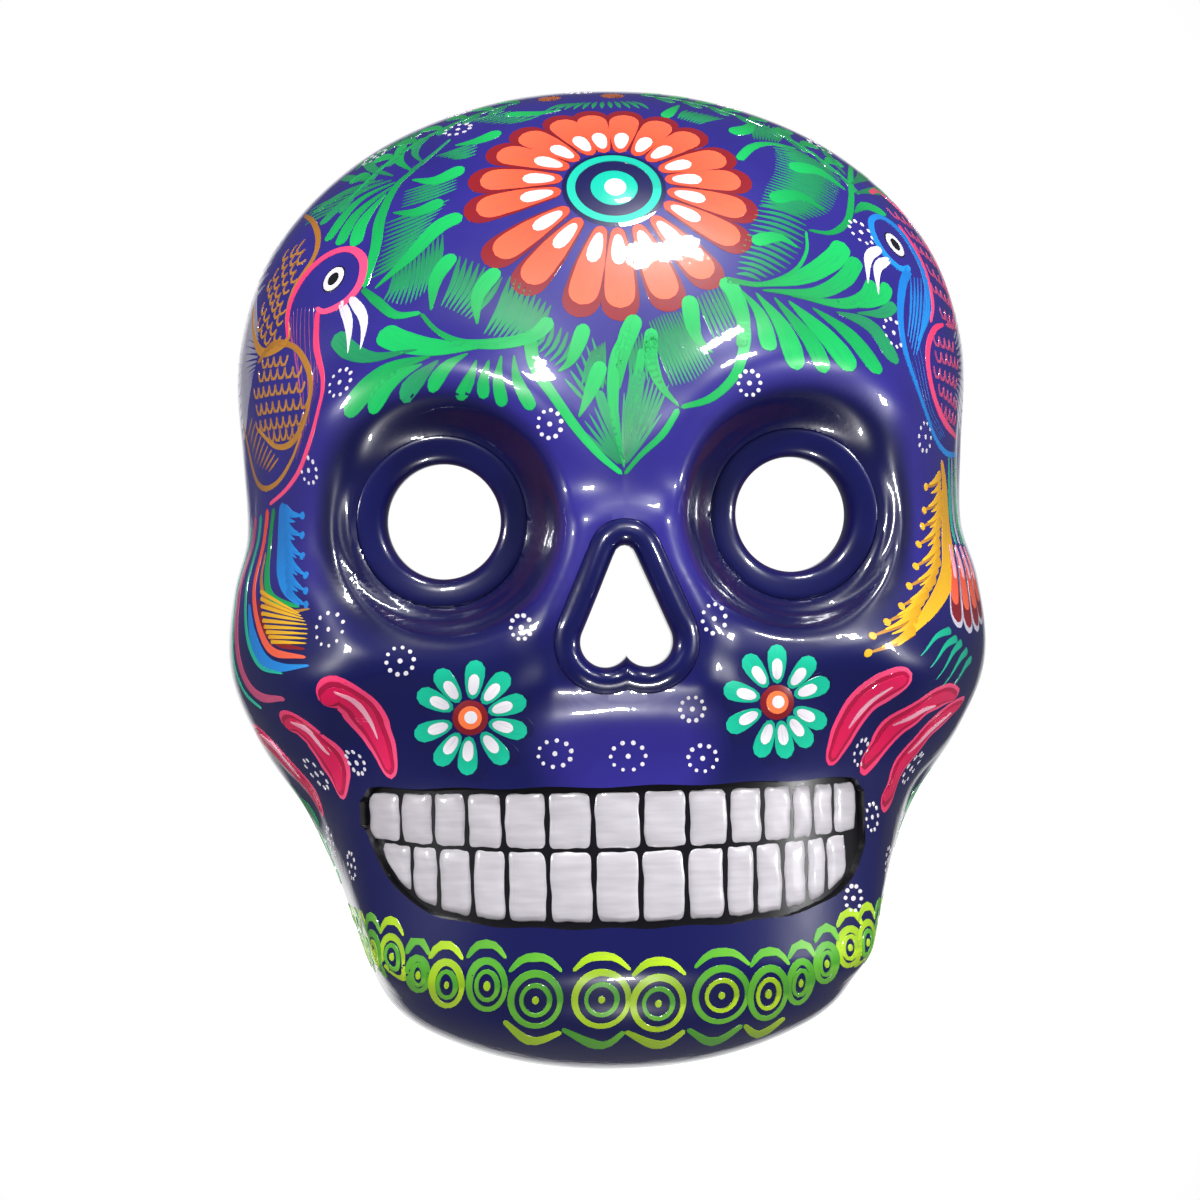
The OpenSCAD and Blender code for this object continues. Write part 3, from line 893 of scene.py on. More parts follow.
# Dotted flowers on each sheet: (u, v, radius, stretch upwards).
DOTTED_FLOWERS = (
    (FRONT, ((-54, -19, 3.3, 1), (-17, 37, 2.8, 1.2), (-25, -11.5, 2.4, 1.2), (-17.5, -42, 4, 0.8),
             (0, -43, 4.2, 0.8), (18, -44, 3.5, 0.9), (15.5, -32, 2.9, 1), (21, -10.5, 2.9, 1.2),
             (31.5, 46, 2.7, 1.1), (56, -80, 2.2, 1.4))),
    (FOREHEAD, ((-36, 91, 3.2, 0.9),)),
    (TOP, ((-35, 45, 3, 1), (-4.5, 45, 3.2, 1), (34, 45, 3, 1), (-57, 35, 2.8, 1), (56, 35, 2.8, 1))),
    (LEFT, ((-35, -56, 3.2, 1), (-46, -72, 3.4, 1), (-26, -78, 3.2, 1), (-5.5, 38, 3.8, 0.9),
            (-18.5, 17, 3.4, 0.9), (-7, -22, 4.8, 0.85), (-16, -53, 2.6, 1))),
    (RIGHT, ((36, -58, 3.2, 1), (47, -73, 3.4, 1), (27, -80, 3.2, 1), (22, 22, 4.6, 0.75), (14, 48, 3.3, 1.1),
             (19.5, 75, 3.2, 1), (6.5, -53, 3, 1), (13, -69, 3, 1.1))))
for where, places in DOTTED_FLOWERS:
    for u, v, r, tall in places:
        dotted_flower(where, u, v, r, tall)
jaw_border()
cheek_petals()


def leaf(colour, path, width, where=FOREHEAD, coat=1):
    """A leaf in one pressed stroke: thin at the root, full and round at the tip."""
    brush("leaves_" + colour, where, path, (0.6, 0.5 * width, 0.85 * width, width, 0.9 * width), coat)


def stem(colour, path, widths, where=FOREHEAD):
    """A stem or a heavy curl of the spray, with its own widths."""
    brush("leaves_" + colour, where, path, widths, 1)


def leaf_hatch(where, start, end, count, width, bend=(0, 0)):
    """Fine dark strokes under the leaves, thickest in the middle."""
    hatch("leaves_dark", where, start, end, count, (0.4, 1.35 * width, 1.2 * width, 0.3), 0, bend)


def left_leaves():
    """The frond, the long stem and the fan of leaflets over the left brow."""
    stem("leaf", [(-47, 76), (-52, 71), (-56, 61), (-57.5, 51), (-60.5, 40)], (1.2, 2.2, 3.0, 2.8, 1.6))
    for colour, path, width in (
            ("dark", [(-55, 76), (-64, 79), (-73, 79)], 2.6),
            ("dark", [(-53, 74.5), (-63, 75), (-71, 70)], 3.0),
            ("leaf", [(-52, 73), (-62, 71), (-69.5, 61.5)], 3.0),
            ("leaf", [(-53, 71.5), (-62, 66), (-66.5, 57.5)], 3.4),
            ("bright", [(-54.5, 69.5), (-60.5, 62), (-62.5, 54.5)], 3.8),
            ("dark", [(-57, 77), (-61.5, 83), (-65, 90)], 2.4),
            ("dark", [(-52.5, 76), (-57, 83), (-59, 91)], 2.6),
            ("leaf", [(-48, 75.5), (-51, 83), (-50, 92)], 3.0),
            ("dark", [(-45, 77.5), (-47, 84), (-45, 92)], 2.4),
            ("bright", [(-48, 71.5), (-42, 68.5), (-35, 71)], 4.4),
            ("leaf", [(-53, 61), (-47, 58.5), (-40.5, 60)], 4.0),
            ("bright", [(-58, 38.5), (-50, 44), (-42, 51.5), (-36, 53.5)], 4.6),
            ("bright", [(-44.5, 27.5), (-43, 36), (-38.5, 42)], 4.2),
            ("bright", [(-33.5, 21), (-33, 29), (-28, 35.5)], 4.4),
            ("bright", [(-28, 14.5), (-42, 15.5), (-51, 20), (-57, 26)], 6.4),
            ("dark", [(-48, 16.5), (-58, 18.5), (-64, 24), (-68, 31)], 4.2),
            ("leaf", [(-45, 13.5), (-56, 13), (-66, 8.5)], 5.6),
            ("bright", [(-47, 12), (-54.5, 10.5), (-60, 6.5)], 4.4),
            ("dark", [(-43, 12), (-47, 9.5), (-52.5, 6.5)], 4.4),
            ("leaf", [(-36, 12.5), (-41, 10), (-45.5, 6)], 3.8),
            ("bright", [(-14.5, 6.5), (-11, 10), (-7.5, 18.5)], 4.0),
            ("bright", [(-37, 82), (-31, 82), (-25.5, 84.5)], 4.0),
            ("bright", [(-10, 93), (-16, 92), (-24, 94)], 3.0)):
        leaf(colour, path, width)
    for path, width in (([(-34, 53), (-36, 48), (-38.5, 43.5)], 3.4),
                        ([(-31, 53), (-32.5, 48), (-32.5, 43.5)], 3.2),
                        ([(-28, 54), (-29, 48), (-28, 41.5)], 3.2),
                        ([(-25, 54), (-24.5, 48), (-21, 40.5)], 3.4)):
        leaf("leaf", path, width, FRONT)
    stem("leaf", [(-61, 40), (-57, 34), (-53, 29), (-47, 27.5)], (1.4, 2.4, 2.2, 1.2))
    stem("leaf", [(-47, 27.5), (-43, 21), (-37, 16), (-28, 14.8), (-20, 16.5), (-15.5, 20.5)],
         (1.0, 1.4, 2.6, 3.6, 3.4, 4.0))
    stem("bright", [(-21, 60), (-20, 51), (-15, 42.5), (-10, 35), (-5, 29), (0, 24.5)],
         (3.6, 3.2, 2.6, 2.4, 2.0, 1.2), FRONT)
    stem("dark", [(-48, 75.5), (-43, 80), (-38, 86)], (1.8, 1.2, 0.8))
    for start, end, count, width in (
            ([(-50, 67.5), (-51, 62)], [(-37, 69), (-37, 63.5)], 6, 0.8),
            ([(-55, 58), (-56, 50), (-59, 42)], [(-39, 60), (-44, 53), (-49, 46)], 12, 0.9),
            ([(-53, 41.5), (-47, 46), (-41, 49)], [(-56, 34), (-50, 31), (-44, 34)], 12, 0.9),
            ([(-37, 41), (-32, 37.5), (-27, 33)], [(-42, 28), (-38, 25), (-35.5, 23)], 8, 1.2),
            ([(-25, 33), (-20, 28), (-15.5, 24)], [(-32, 18), (-27, 16), (-22.5, 15.5)], 9, 1.3),
            ([(-17, 19), (-13, 18), (-9, 14)], [(-20, 13), (-17, 9.5), (-14, 7)], 6, 1.0),
            ([(-42, 79), (-38, 76)], [(-31, 82), (-32, 76)], 5, 0.9),
            ([(-60, 76), (-66, 73)], [(-74, 83), (-75, 76)], 5, 0.9),
            ([(-34, 95), (-28, 90), (-24, 88)], [(-24, 97), (-18, 93), (-15, 91)], 7, 0.9),
            ([(-62, 90), (-56, 92), (-48, 94)], [(-60, 97), (-52, 99), (-44, 101)], 8, 1.4)):
        leaf_hatch(FOREHEAD, start, end, count, width, (0.6, -0.6))


def middle_leaves():
    """The spray that rises from the bridge of the nose."""
    for colour, path, width in (
            ("bright", [(0.5, 26), (-1.5, 40), (-0.5, 52), (3.5, 60)], 3.4),
            ("bright", [(-10, 38.5), (-7, 44.5), (-3.8, 52)], 4.0),
            ("bright", [(14.2, 40.5), (10, 46), (8, 53), (8.5, 60)], 3.6),
            ("dark", [(1, 29), (2.5, 40), (5.5, 50)], 3.6), ("dark", [(0.5, 28), (-3, 38), (-5, 45)], 2.6),
            ("leaf", [(1.5, 34), (4, 45), (6, 55)], 2.2)):
        leaf(colour, path, width, FRONT)
    leaf("bright", [(0, 2), (1.5, 12), (5, 20.5)], 4.6)
    leaf("bright", [(23, 10.5), (19, 16), (18, 26)], 4.4)
    leaf("leaf", [(11, 1), (8, 8), (8.5, 16)], 3.6)
    stem("leaf", [(0.5, 24.5), (4.5, 29), (10, 34), (14, 40)], (1.0, 1.4, 1.8, 1.6), FRONT)
    stem("bright", [(14.5, 40.3), (22, 42.5), (28, 48), (31, 56), (31, 62)], (1.2, 2.0, 2.4, 2.8, 3.2), FRONT)
    stem("bright", [(30, 12), (31, 20), (29, 28), (26, 31)], (3.0, 3.4, 4.4, 4.6))
    for where, start, end, count, width in (
            (FRONT, [(-1, 27), (1, 27)], [(-10, 36), (-4, 43), (3, 44), (10, 39)], 13, 0.8),
            (FRONT, [(1, 33), (6, 34)], [(3, 50), (12, 46)], 9, 0.8),
            (FRONT, [(-8, 42), (-3, 46)], [(-13, 48), (-6, 58)], 6, 0.9),
            (FOREHEAD, [(8, 19), (12, 21), (17, 22)], [(13, 2), (18, 3), (23, 7)], 13, 0.8),
            (FOREHEAD, [(20, 26), (23, 28), (26, 29)], [(24, 14), (27, 15), (29.5, 20)], 7, 0.8),
            (FOREHEAD, [(-6, 12), (-3, 14)], [(-9, 3), (-4, 2)], 6, 1.0),
            (FOREHEAD, [(3, 14), (6, 16)], [(3, 3), (7, 4)], 5, 0.8)):
        leaf_hatch(where, start, end, count, width)


def right_leaves():
    """The double fan over the right brow, and the fronds beside the rosette."""
    for colour, path, width in (
            ("bright", [(31, 28.5), (35.5, 22), (37, 11.5)], 4.4),
            ("bright", [(34.5, 28.5), (40.5, 20), (43.5, 8)], 5.4),
            ("leaf", [(39, 28), (46, 19), (50.5, 9)], 4.8),
            ("bright", [(42.5, 27.8), (51, 20), (57.5, 11.5)], 6.4),
            ("leaf", [(48.5, 27.3), (58, 22), (64.5, 14)], 5.4),
            ("dark", [(54.5, 28), (64, 27.5), (69.5, 21)], 5.0),
            ("bright", [(34, 30), (46, 35), (54.5, 43), (58.2, 50)], 5.4),
            ("leaf", [(36, 29.3), (49, 31.5), (57, 38), (61.5, 46.5)], 4.2),
            ("leaf", [(43, 29.3), (55, 30.5), (62, 35), (65, 41.5)], 3.4),
            ("bright", [(52, 30), (61, 33), (67, 38), (69, 43)], 3.4),
            ("dark", [(60, 29.8), (66.5, 33), (70.5, 38)], 2.8),
            ("bright", [(46, 44), (41, 46), (34.5, 43)], 3.8),
            ("bright", [(60.5, 71.5), (53.5, 75.5), (46, 73)], 4.6),
            ("leaf", [(54, 59.5), (47.5, 62), (40, 58.5)], 4.4),
            ("bright", [(49, 84), (42, 82.5), (37, 78.5), (33, 71.5)], 2.6),
            ("bright", [(38.5, 94), (36.5, 88), (32, 84)], 4.4),
            ("bright", [(20, 97), (17.5, 92), (15.5, 88)], 3.2),
            ("leaf", [(62, 63), (65.5, 68.5), (71, 70)], 3.4),
            ("dark", [(62.5, 76), (66, 84), (68, 92)], 3.0), ("dark", [(63, 72), (69, 80), (73, 88)], 3.0),
            ("dark", [(61.5, 80), (58, 87), (57, 95)], 2.6), ("dark", [(50, 84), (47, 90), (47, 97)], 3.0)):
        leaf(colour, path, width)
    stem("leaf", [(27, 31), (36, 31), (44, 36), (48, 43), (48.5, 50)], (2.0, 1.4, 1.2, 1.0, 0.8))
    stem("leaf", [(49, 50.5), (55, 52), (59.5, 58), (61.5, 67), (62.5, 78), (64, 90)],
         (0.8, 1.8, 1.8, 1.6, 1.6, 1.2))
    for start, end, count, width in (
            ([(49, 56), (48, 47), (43, 37), (36, 32)], [(37.5, 57), (34, 47), (31, 38), (30, 33)], 15, 1.0),
            ([(60, 76), (58, 67), (55, 59), (49, 54)], [(43, 80), (42, 70), (39, 62), (37.5, 56)], 22, 1.0),
            ([(60, 78), (52, 82)], [(44, 77), (42, 82)], 5, 1.0),
            ([(44, 84), (38, 83)], [(48, 95), (38, 96)], 9, 0.9),
            ([(31, 92), (22, 94)], [(24, 86), (19, 88)], 8, 0.9),
            ([(-8, 97), (8, 98)], [(-14, 93), (12, 93)], 12, 1.0)):
        leaf_hatch(FOREHEAD, start, end, count, width, (0, 0.8))


def scales(piece, where, rows, size, coat=1):
    """Rows of small arcs, like feathers, along lines from one side of a wing to the other."""
    for n, (a, b) in enumerate(rows):
        a, b = np.array(a, float), np.array(b, float)
        count = max(1, round(np.hypot(*(b - a)) / size))
        step = (b - a) / count
        drop = np.array([step[1], -step[0]]) * 0.75
        shift = step * 0.5 * (n % 2)
        for k in range(count):
            left = a + shift + step * k
            brush(piece, where, [left, left + step * 0.12 + drop * 0.7, left + step * 0.5 + drop,
                                 left + step * 0.88 + drop * 0.7, left + step], (0.7, 1.0, 0.7), coat)


def eye(where, u, v):
    """A bird's eye: white in a black ring, with a black pupil."""
    dab("eyes_black", where, u, v, 4.0, 1.05, coat=1, sides=20)
    dab("eyes_white", where, u, v, 3.7, 1.05, coat=2, sides=20)
    dab("eyes_black", where, u, v, 2.0, 1.05, coat=3, sides=16)


def comb(colour, shade, where, spine, widths, roots, tips):
    """A crescent of colour with long teeth that end in dots, and shorter teeth between them."""
    brush("comb_" + colour, where, spine, widths, 1)
    for k, (root, tip) in enumerate(zip(roots, tips)):
        root, tip = np.array(root, float), np.array(tip, float)
        middle = (root + tip) / 2 - (0, 0.7)
        brush("comb_" + shade, where, [root, middle, tip], (3.4, 2.3, 1.3, 0.6))
        brush("comb_" + colour, where, [root, middle + (0, 0.4), root * 0.2 + tip * 0.8], (3.4, 1.5, 0.5), 2)
        dab("comb_" + colour, where, *tip, 1.15, coat=3, sides=12)
        if k:
            start, end = (root + last_root) / 2, (tip + last_tip) / 2
            brush("comb_" + colour, where, [start, start * 0.65 + end * 0.35 - (0, 0.4),
                                            start * 0.35 + end * 0.65], (2.6, 1.3, 0.4), 1)
        last_root, last_tip = root, tip


def left_bird():
    """A pink bird with ochre wings on the left temple, and its striped tail down to the cheek."""
    where = LEFT
    brush("bird_pink", where, [(-31, 50), (-33.5, 58), (-31.5, 66), (-26, 71.5), (-19, 73), (-13, 70),
                               (-10.5, 64), (-12.5, 59), (-18, 56.5), (-22, 57.5)],
          (1.2, 1.8, 2.2, 2.0, 1.6, 2.2, 2.2, 2.0, 1.2), 2)
    brush("bird_pink", where, [(-21, 57), (-18, 47), (-13, 39), (-11.5, 33), (-14, 26), (-22, 18),
                               (-32, 13), (-44, 10)], (1.6, 2.2, 1.6, 1.4, 1.6, 1.4, 1.2, 1.0), 2)
    hatch("bird_rose", where, [(-23, 58), (-31, 57), (-31, 51)], [(-15, 38), (-20, 30), (-26, 47)], 10,
          (0.3, 0.7, 0.6, 0.3))
    hatch("bird_rose", where, [(-18, 44), (-14, 36)], [(-16, 28), (-24, 20)], 6, (0.3, 0.7, 0.6, 0.3))
    eye(where, -19.5, 65)
    for path in ([(-14, 59), (-9.5, 53.5), (-6.5, 45.5)], [(-11.5, 60), (-5.5, 54.5), (-3, 46.5)]):
        brush("bird_white", where, path, (1.8, 2.8, 2.4, 1.2, 0.3), 2)
    # upper wing
    brush("bird_ochre", where, [(-52, 85), (-42, 82), (-34, 77), (-31, 71), (-34, 63), (-33.5, 56),
                                (-31, 50), (-38, 47.5), (-46, 48), (-53, 53), (-60, 61)],
          (1.0, 1.4, 1.8, 1.8, 1.6, 1.8, 2.2, 2.6, 1.6, 1.4), 1)
    scales("bird_ochre", where, [((-40, 77), (-34, 71)), ((-44, 77), (-35, 67)), ((-47, 75), (-36, 63)),
                                 ((-49, 71), (-36, 59)), ((-50, 67), (-35, 55)), ((-51, 62), (-36, 52)),
                                 ((-50, 57), (-40, 51))], 3.4)
    # lower wing
    brush("bird_ochre", where, [(-47, 45), (-38, 49), (-28, 48), (-21, 43), (-17.5, 36), (-19, 28.5),
                                (-27, 24), (-38, 24), (-50, 29)],
          (1.2, 2.2, 1.6, 2.2, 1.8, 2.2, 1.6, 1.4, 1.0), 1)
    scales("bird_ochre", where, [((-44, 46), (-30, 46)), ((-48, 43), (-25, 43)), ((-50, 39), (-21, 39)),
                                 ((-51, 35), (-20, 35)), ((-51, 31), (-20, 31)), ((-44, 28), (-24, 28))],
           3.8)
    brush("bird_ochre", where, [(-66, 32), (-60, 20), (-50, 14.5), (-38, 15), (-27, 20), (-20, 26)],
          (0.8, 1.4, 1.6, 1.4, 1.2, 0.8), 1)
    hatch("bird_ochre", where, [(-62, 28), (-55, 21), (-44, 18)], [(-54, 32), (-46, 26), (-36, 21)], 9,
          (0.3, 0.9, 0.8, 0.3))
    # pale feathers that run back from between the wings
    hatch("bird_grey", where, [(-50, 54), (-47, 47.5), (-52, 40)], [(-66, 68), (-72, 50), (-68, 28)], 15,
          (0.5, 1.6, 2.6, 2.0))
    hatch("bird_grey", where, [(-60, 82), (-54, 66)], [(-70, 78), (-66, 62)], 6, (0.5, 1.4, 2.0, 1.2))
    # tail bands, from the comb outwards
    for colour, path, widths in (
            ("leaf", [(-41, 9), (-43, 1), (-40, -8), (-34, -14), (-20, -16.5)], (2.4, 2.4, 2.8, 2.0, 0.6)),
            ("ochre", [(-45, -2), (-43, -9), (-37, -15), (-27, -17.5), (-15, -17)],
             (0.8, 1.6, 2.0, 1.2, 0.4)), ("coral",
                                          [(-46, 9), (-48, -2), (-46, -13), (-39, -22), (-30, -27.5),
                                           (-14, -29)], (2.6, 2.2, 2.0, 2.2, 2.0, 0.8)),
            ("red", [(-43, -14), (-37, -21), (-28, -25.5), (-15, -27)], (1.0, 2.0, 1.6, 0.6)),
            ("teal", [(-52, 8), (-54, -4), (-52, -15), (-46, -25), (-37, -31), (-24, -33)],
             (2.0, 2.0, 1.6, 1.6, 1.4, 0.6)), ("blue",
                                               [(-49, -15), (-43, -24), (-34, -30), (-24, -31.5),
                                                (-12, -31)], (1.2, 4.2, 3.6, 2.0, 0.6)),
            ("rose", [(-58, 8), (-61, -6), (-59, -20), (-52, -32), (-42, -38), (-26, -39)],
             (3.0, 4.0, 3.6, 3.2, 2.4, 1.0)), ("teal",
                                               [(-64, 6), (-66, -10), (-63, -25), (-55, -36), (-44, -41)],
                                               (1.6, 1.8, 1.6, 1.4, 0.8))):
        brush("tail_" + colour, where, path, widths, 1)
    hatch("tail_yellow", where, [(-42, -12), (-38, -20), (-32, -25)],
          [(-20, -18), (-16, -21), (-15, -25.5)], 9, (1.2, 1.0, 0.8, 0.3), 2)
    comb("blue", "blue", where, ((-35, 10), (-34.5, 3), (-33, -3), (-30, -9), (-26, -13), (-20, -16.2)),
         (4.5, 6, 6.5, 6, 4, 2, 0.8),
         ((-34, 8.5), (-34, 5), (-33, 1.5), (-31, -2.5), (-29, -7), (-27, -12)),
         ((-23.5, 6.3), (-23, 1.4), (-21.6, -3.8), (-18.2, -8.7), (-17.2, -12.6), (-16.8, -16)))


def right_bird():
    """A blue bird with a pink wing on the right temple, with a yellow comb under it."""
    where = RIGHT
    brush("bird_blue", where, [(39, 70), (38, 76), (33, 79.5), (27, 78.5), (23.5, 74), (23.5, 68.5),
                               (27, 65), (32, 65.5)], (2.0, 2.4, 1.6, 1.6, 2.0, 2.2, 2.0, 1.6), 2)
    brush("bird_blue", where, [(39, 72), (38.5, 64), (33, 54), (24, 46)], (2.6, 2.8, 1.8, 0.6), 1)
    brush("bird_blue", where, [(31, 65), (25, 61), (19.5, 54), (17, 46), (18, 37), (22, 29), (30, 22.5),
                               (42, 19), (58, 19.5)], (2.6, 2.6, 2.2, 2.0, 1.8, 1.6, 1.6, 1.6, 1.0), 2)
    hatch("bird_blue", where, [(30, 63), (37, 62), (36, 55)], [(19.5, 47), (21, 42), (26, 47)], 9,
          (0.3, 1.0, 0.8, 0.3))
    hatch("bird_blue", where, [(19, 41), (24, 46)], [(36, 22), (40, 23)], 4, (0.3, 0.7, 0.6, 0.3), 0,
          (-5, -4))
    eye(where, 30.5, 71.7)
    for path in ([(23, 70.5), (16.5, 68), (11.5, 61)], [(24, 67.5), (17.5, 65), (13.3, 58)]):
        brush("bird_white", where, path, (1.8, 2.8, 2.4, 1.2, 0.3), 2)
    brush("bird_pink", where, [(42, 51), (35, 49.5), (29.5, 45.5), (27.5, 40), (29, 34), (34, 29),
                               (43, 25.5), (56, 23.5)], (1.0, 2.0, 2.4, 2.4, 2.2, 2.0, 1.6, 1.0), 1)
    scales("bird_rose", where, [((33, 48), (48, 47)), ((31, 44), (50, 43)), ((31, 40), (50, 38)),
                                ((32, 36), (50, 33)), ((36, 31), (52, 29))], 3.8)
    brush("bird_pink", where, [(38, 87), (46, 88), (53, 82)], (1.2, 1.8, 0.8), 1)
    brush("bird_pink", where, [(40, 78), (41, 68), (38, 57), (33, 51)], (1.6, 2.0, 1.8, 1.0), 1)
    scales("bird_rose", where, [((41, 83), (52, 80)), ((42, 78), (55, 74)), ((43, 73), (56, 69)),
                                ((42, 68), (57, 63)), ((41, 62), (57, 58)), ((40, 56), (55, 53))], 3.6)
    brush("bird_rose", where, [(54, 86), (59, 74), (59, 62), (54, 52), (44, 51)], (1.0, 1.8, 2.0, 1.8, 1.0),
          1)
    hatch("bird_grey", where, [(50, 48), (52, 40), (48, 33)], [(66, 56), (70, 42), (66, 26)], 12,
          (0.5, 1.4, 2.2, 1.6))
    comb("yellow", "ochre", where, ((37, 17), (40, 10), (39, 2), (35, -6), (29, -13), (20, -19), (10, -24),
                                    (0, -29)), (2, 5, 7, 8, 7, 5.5, 4, 2, 0.8),
         ((36, 13.5), (37, 9), (37, 5), (34, 2), (30, -3), (27, -8), (22, -12.5), (17, -16), (12, -20),
          (8, -25)), ((24.5, 10), (23, 4.2), (21, 0.2), (17.5, -4.3), (13.5, -9.8), (9, -14.6),
                      (4.5, -19.4), (-1.5, -23), (-6.5, -26), (-8, -30)))
    # tail feathers: coral with pale roots, and dark red tips edged in pale blue
    for u0, u1, v1 in ((38, 31, -21), (43, 39, -22.5), (48, 47, -22), (53, 54, -20)):
        brush("tail_grey", where, [(u0, -4), ((u0 + u1) / 2, -14), (u1 - 0.3, v1 - 4.4)],
              (2.0, 5.0, 7.0, 7.8))
        brush("tail_red", where, [(u0, -4), ((u0 + u1) / 2, -14), (u1, v1 - 3)], (1.6, 4.4, 6.0, 6.4), 1)
        brush("tail_coral", where, [(u0, -6), ((u0 + u1) / 2, -13), (u1 + 0.6, v1 + 1.5)],
              (1.6, 3.6, 4.4, 4.6), 2)
        brush("tail_pale", where, [(u0, -4), ((u0 + u1) / 2 + 0.4, -13)], (1.2, 2.4, 1.6), 3)
    for a, b in (((26, -26), (8, -32)), ((29, -28), (12, -35)), ((32, -29), (16, -38)),
                 ((36, -31), (21, -40)), ((40, -33), (28, -41))):
        brush("tail_teal", where, [a, ((a[0] + b[0]) / 2, (a[1] + b[1]) / 2 + 1.5), b], (2.2, 1.6, 0.9, 0.3))
    for u, colour in ((45, "teal"), (49, "grey"), (53, "leaf"), (57, "teal")):
        brush("tail_" + colour, where, [(u, 19), (u + 0.6, 8), (u - 0.5, -4)], (1.2, 3.0, 3.0, 1.4))


def crown_leaves():
    """A garland down each side of the crown, behind the rosette, from beside the hanging holes."""
    for start, end, count in ((-20, -64, 7), (11, 62, 8)):
        away = 1 if end > start else -1
        path = [(u, 38.5 - 0.0052 * u * u) for u in np.linspace(start, end, 5)]
        stem("leaf", path, (0.8, 1.6, 1.4, 1.6, 0.8), TOP)
        for k, (u, v) in enumerate(along(path, count + 1)[:-1]):
            leaf("bright" if k % 2 else "leaf", [(u, v), (u + 2 * away, v + 4), (u + 5 * away, v + 7)], 3.6,
                 TOP)
            leaf("dark", [(u + 3 * away, v), (u + 4.5 * away, v - 3), (u + 8 * away, v - 6)], 2.6, TOP)


def side_sprays():
    """A small spray of leaves on each side of the jaw, beside the rim."""
    for where, side in ((LEFT, -1), (RIGHT, 1)):
        stem("leaf", [(side * u, v) for u, v in ((63, -58), (63, -68), (57, -82))], (0.8, 1.6, 0.6), where)
        for u, v in ((63.5, -61), (62, -68.5), (59.5, -75)):
            leaf("bright", [(side * u, v), (side * (u + 4), v - 3), (side * (u + 7), v - 8)], 3.4, where)
            leaf("leaf", [(side * u, v), (side * (u - 4), v - 2), (side * (u - 7), v - 7)], 3.0, where)


crown_leaves()
side_sprays()
left_leaves()
middle_leaves()
right_leaves()
left_bird()
right_bird()


# ------------------------------------------------------------------ the paints
def acrylic(name, root, tip, thin=0.35):
    """Artist's acrylic in single strokes: streaked along the brush, and from root to tip a little lighter."""
    material, tree, shader = new_material(name)
    varnish(shader)
    ripple(tree, shader)
    stroke = add(tree, "ShaderNodeUVMap", uv_map="stroke").outputs["UV"]
    reach = add(tree, "ShaderNodeAttribute", attribute_name="reach").outputs["Fac"]
    bristles = add(tree, "ShaderNodeMapping", {"Vector": stroke, "Scale": (1 / 0.45, 1 / 7, 1)}).outputs[0]
    streak = add(tree, "ShaderNodeTexNoise", {"Vector": bristles, "Scale": 1.0, "Detail": 2.0}).outputs["Fac"]
    bare = add(tree, "ShaderNodeMapRange", {"Value": streak, 1: 0.5, 2: 0.75, 3: 0.0, 4: thin}).outputs[0]
    tone = add(tree, "ShaderNodeMix", {"Factor": reach, 6: linear(root), 7: linear(tip)},
               data_type="RGBA").outputs[2]
    worn = add(tree, "ShaderNodeMix", {"Factor": bare, 6: tone, 7: linear("#2b2070")},
               data_type="RGBA").outputs[2]
    tree.links.new(worn, shader.inputs["Base Color"])
    return material


# Each colour's root and tip shade, and how far the violet ground shows between the bristles.
PAINTS = {"coral": ("#ee4c2e", "#f86a48", 0.15), "red": ("#6e0f18", "#8c1820", 0.2),
          "orange": ("#f0602a", "#ff8a4e", 0.1), "white": ("#d9d4dc", "#f2eef2", 0.2),
          "turquoise": ("#07b59c", "#12cdb0", 0.15), "navy": ("#0f1150", "#0c0e48", 0.1),
          "teal": ("#0aa583", "#14c49c", 0.15), "lime": ("#9ac41c", "#c4ea28", 0.2),
          "green": ("#4fa62e", "#74c23a", 0.15), "pink": ("#f5386f", "#ff5586", 0.1),
          "crimson": ("#a60c3c", "#c01548", 0.12), "magenta": ("#d8104f", "#ea1f5e", 0.12),
          "pale": ("#f59ab4", "#f7c3d2", 0.3), "leaf": ("#0b8a46", "#0fb459", 0.25),
          "bright": ("#0d9c4c", "#13bd5e", 0.2), "dark": ("#187a4e", "#1f9a60", 0.3),
          "ochre": ("#a86c1c", "#c98c2e", 0.2), "yellow": ("#e0a012", "#ffc928", 0.1),
          "blue": ("#1478cc", "#1f92e6", 0.12), "grey": ("#8f8ba6", "#d4d2e0", 0.35),
          "rose": ("#b8406e", "#d4507c", 0.35), "black": ("#0a0c12", "#101418", 0.0)}

# Every piece's name ends in the colour it is painted with.
for piece_name, (points, faces, uv, reach) in STROKES.items():
    colour = piece_name.rsplit("_", 1)[1]
    paint = bpy.data.materials.get(colour + "_acrylic") or acrylic(colour + "_acrylic", *PAINTS[colour])
    made = mesh_piece(piece_name, points, faces, paint)
    corner = np.empty(len(made.data.loops), int)
    made.data.loops.foreach_get("vertex_index", corner)
    made.data.uv_layers.new(name="stroke").data.foreach_set("uv", np.array(uv)[corner].ravel())
    made.data.attributes.new("reach", "FLOAT", "POINT").data.foreach_set("value", reach)
    select_only(made)
    face_outwards()
    bpy.ops.object.shade_smooth_by_angle(angle=math.radians(25))


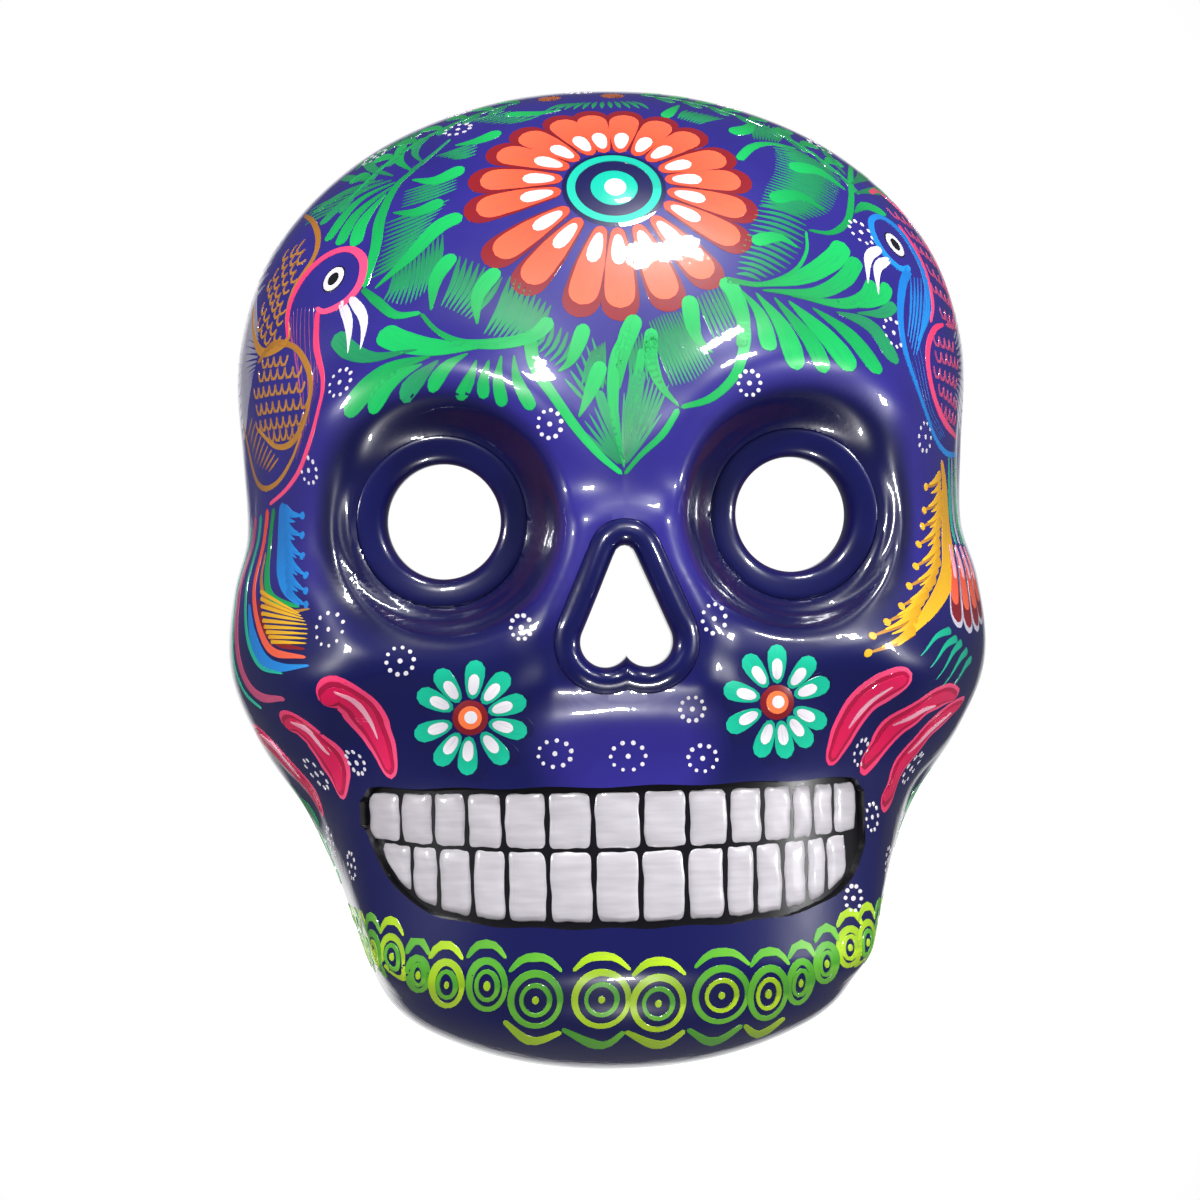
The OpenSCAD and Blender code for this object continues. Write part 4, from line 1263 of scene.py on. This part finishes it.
# ------------------------------------------------------------------ stage and light
# In metres, from the middle of the mask. The white floor starts behind it and isn't seen in the varnish.
FLOOR_SIZE = (6, 3, 1)
FLOOR_BACK, FLOOR_DROP = 1.65, 0.165
bpy.ops.mesh.primitive_plane_add(size=1, location=(0, FLOOR_BACK, MID_Z * MM - FLOOR_DROP))
floor = bpy.context.object
floor.name = "floor"
floor.scale = FLOOR_SIZE
bpy.ops.object.transform_apply()
paper, tree, shader = new_material("white_paper_backdrop")
shader.inputs["Base Color"].default_value = linear("#f6f6f8")
shader.inputs["Roughness"].default_value = 0.9
shader.inputs["Emission Color"].default_value = linear("#ffffff")
shader.inputs["Emission Strength"].default_value = 1.0
floor.data.materials.append(paper)
floor.visible_glossy = False

# A dark studio round the mask, and white only straight behind it: the stops are shares of the way to +Y.
STUDIO_STOPS = ((0.93, (0.07, 0.07, 0.08, 1)), (0.98, (1, 1, 1, 1)))
world = bpy.data.worlds.new("studio")
scene.world = world
world.use_nodes = True
tree = world.node_tree
towards = add(tree, "ShaderNodeSeparateXYZ", {0: add(tree, "ShaderNodeTexCoord").outputs["Generated"]})
ramp = add(tree, "ShaderNodeValToRGB", {0: towards.outputs["Y"]})
tree.links.new(ramp.outputs[0], tree.nodes["Background"].inputs["Color"])
for stop, (position, colour) in zip(ramp.color_ramp.elements, STUDIO_STOPS):
    stop.position = position
    stop.color = colour
scene.view_settings.view_transform = "Standard"

# Two softboxes in front, one overhead, and weaker ones at the sides and below: (place, width, height, watts).
LAMPS = (((-0.4, -1.05, 0.82), 0.2, 0.13, 13), ((1.15, -0.9, 0.66), 0.14, 0.12, 13),
         ((0.25, -0.6, 1.22), 0.32, 0.14, 10), ((-1.3, -0.3, 0.25), 0.15, 0.15, 8),
         ((1.3, -0.35, 0.0), 0.15, 0.15, 7), ((0.0, -0.6, -1.0), 0.12, 0.06, 7))
LIT_MIDDLE = Vector((0, -0.05, MID_Z * MM))
for place, wide, high, power in LAMPS:
    bpy.ops.object.light_add(type="AREA", location=Vector(place) + Vector((0, 0, MID_Z * MM)))
    lamp = bpy.context.object
    lamp.data.shape = "RECTANGLE"
    lamp.data.energy = power
    lamp.data.size = wide
    lamp.data.size_y = high
    lamp.rotation_euler = (LIT_MIDDLE - lamp.location).to_track_quat("-Z", "Y").to_euler()
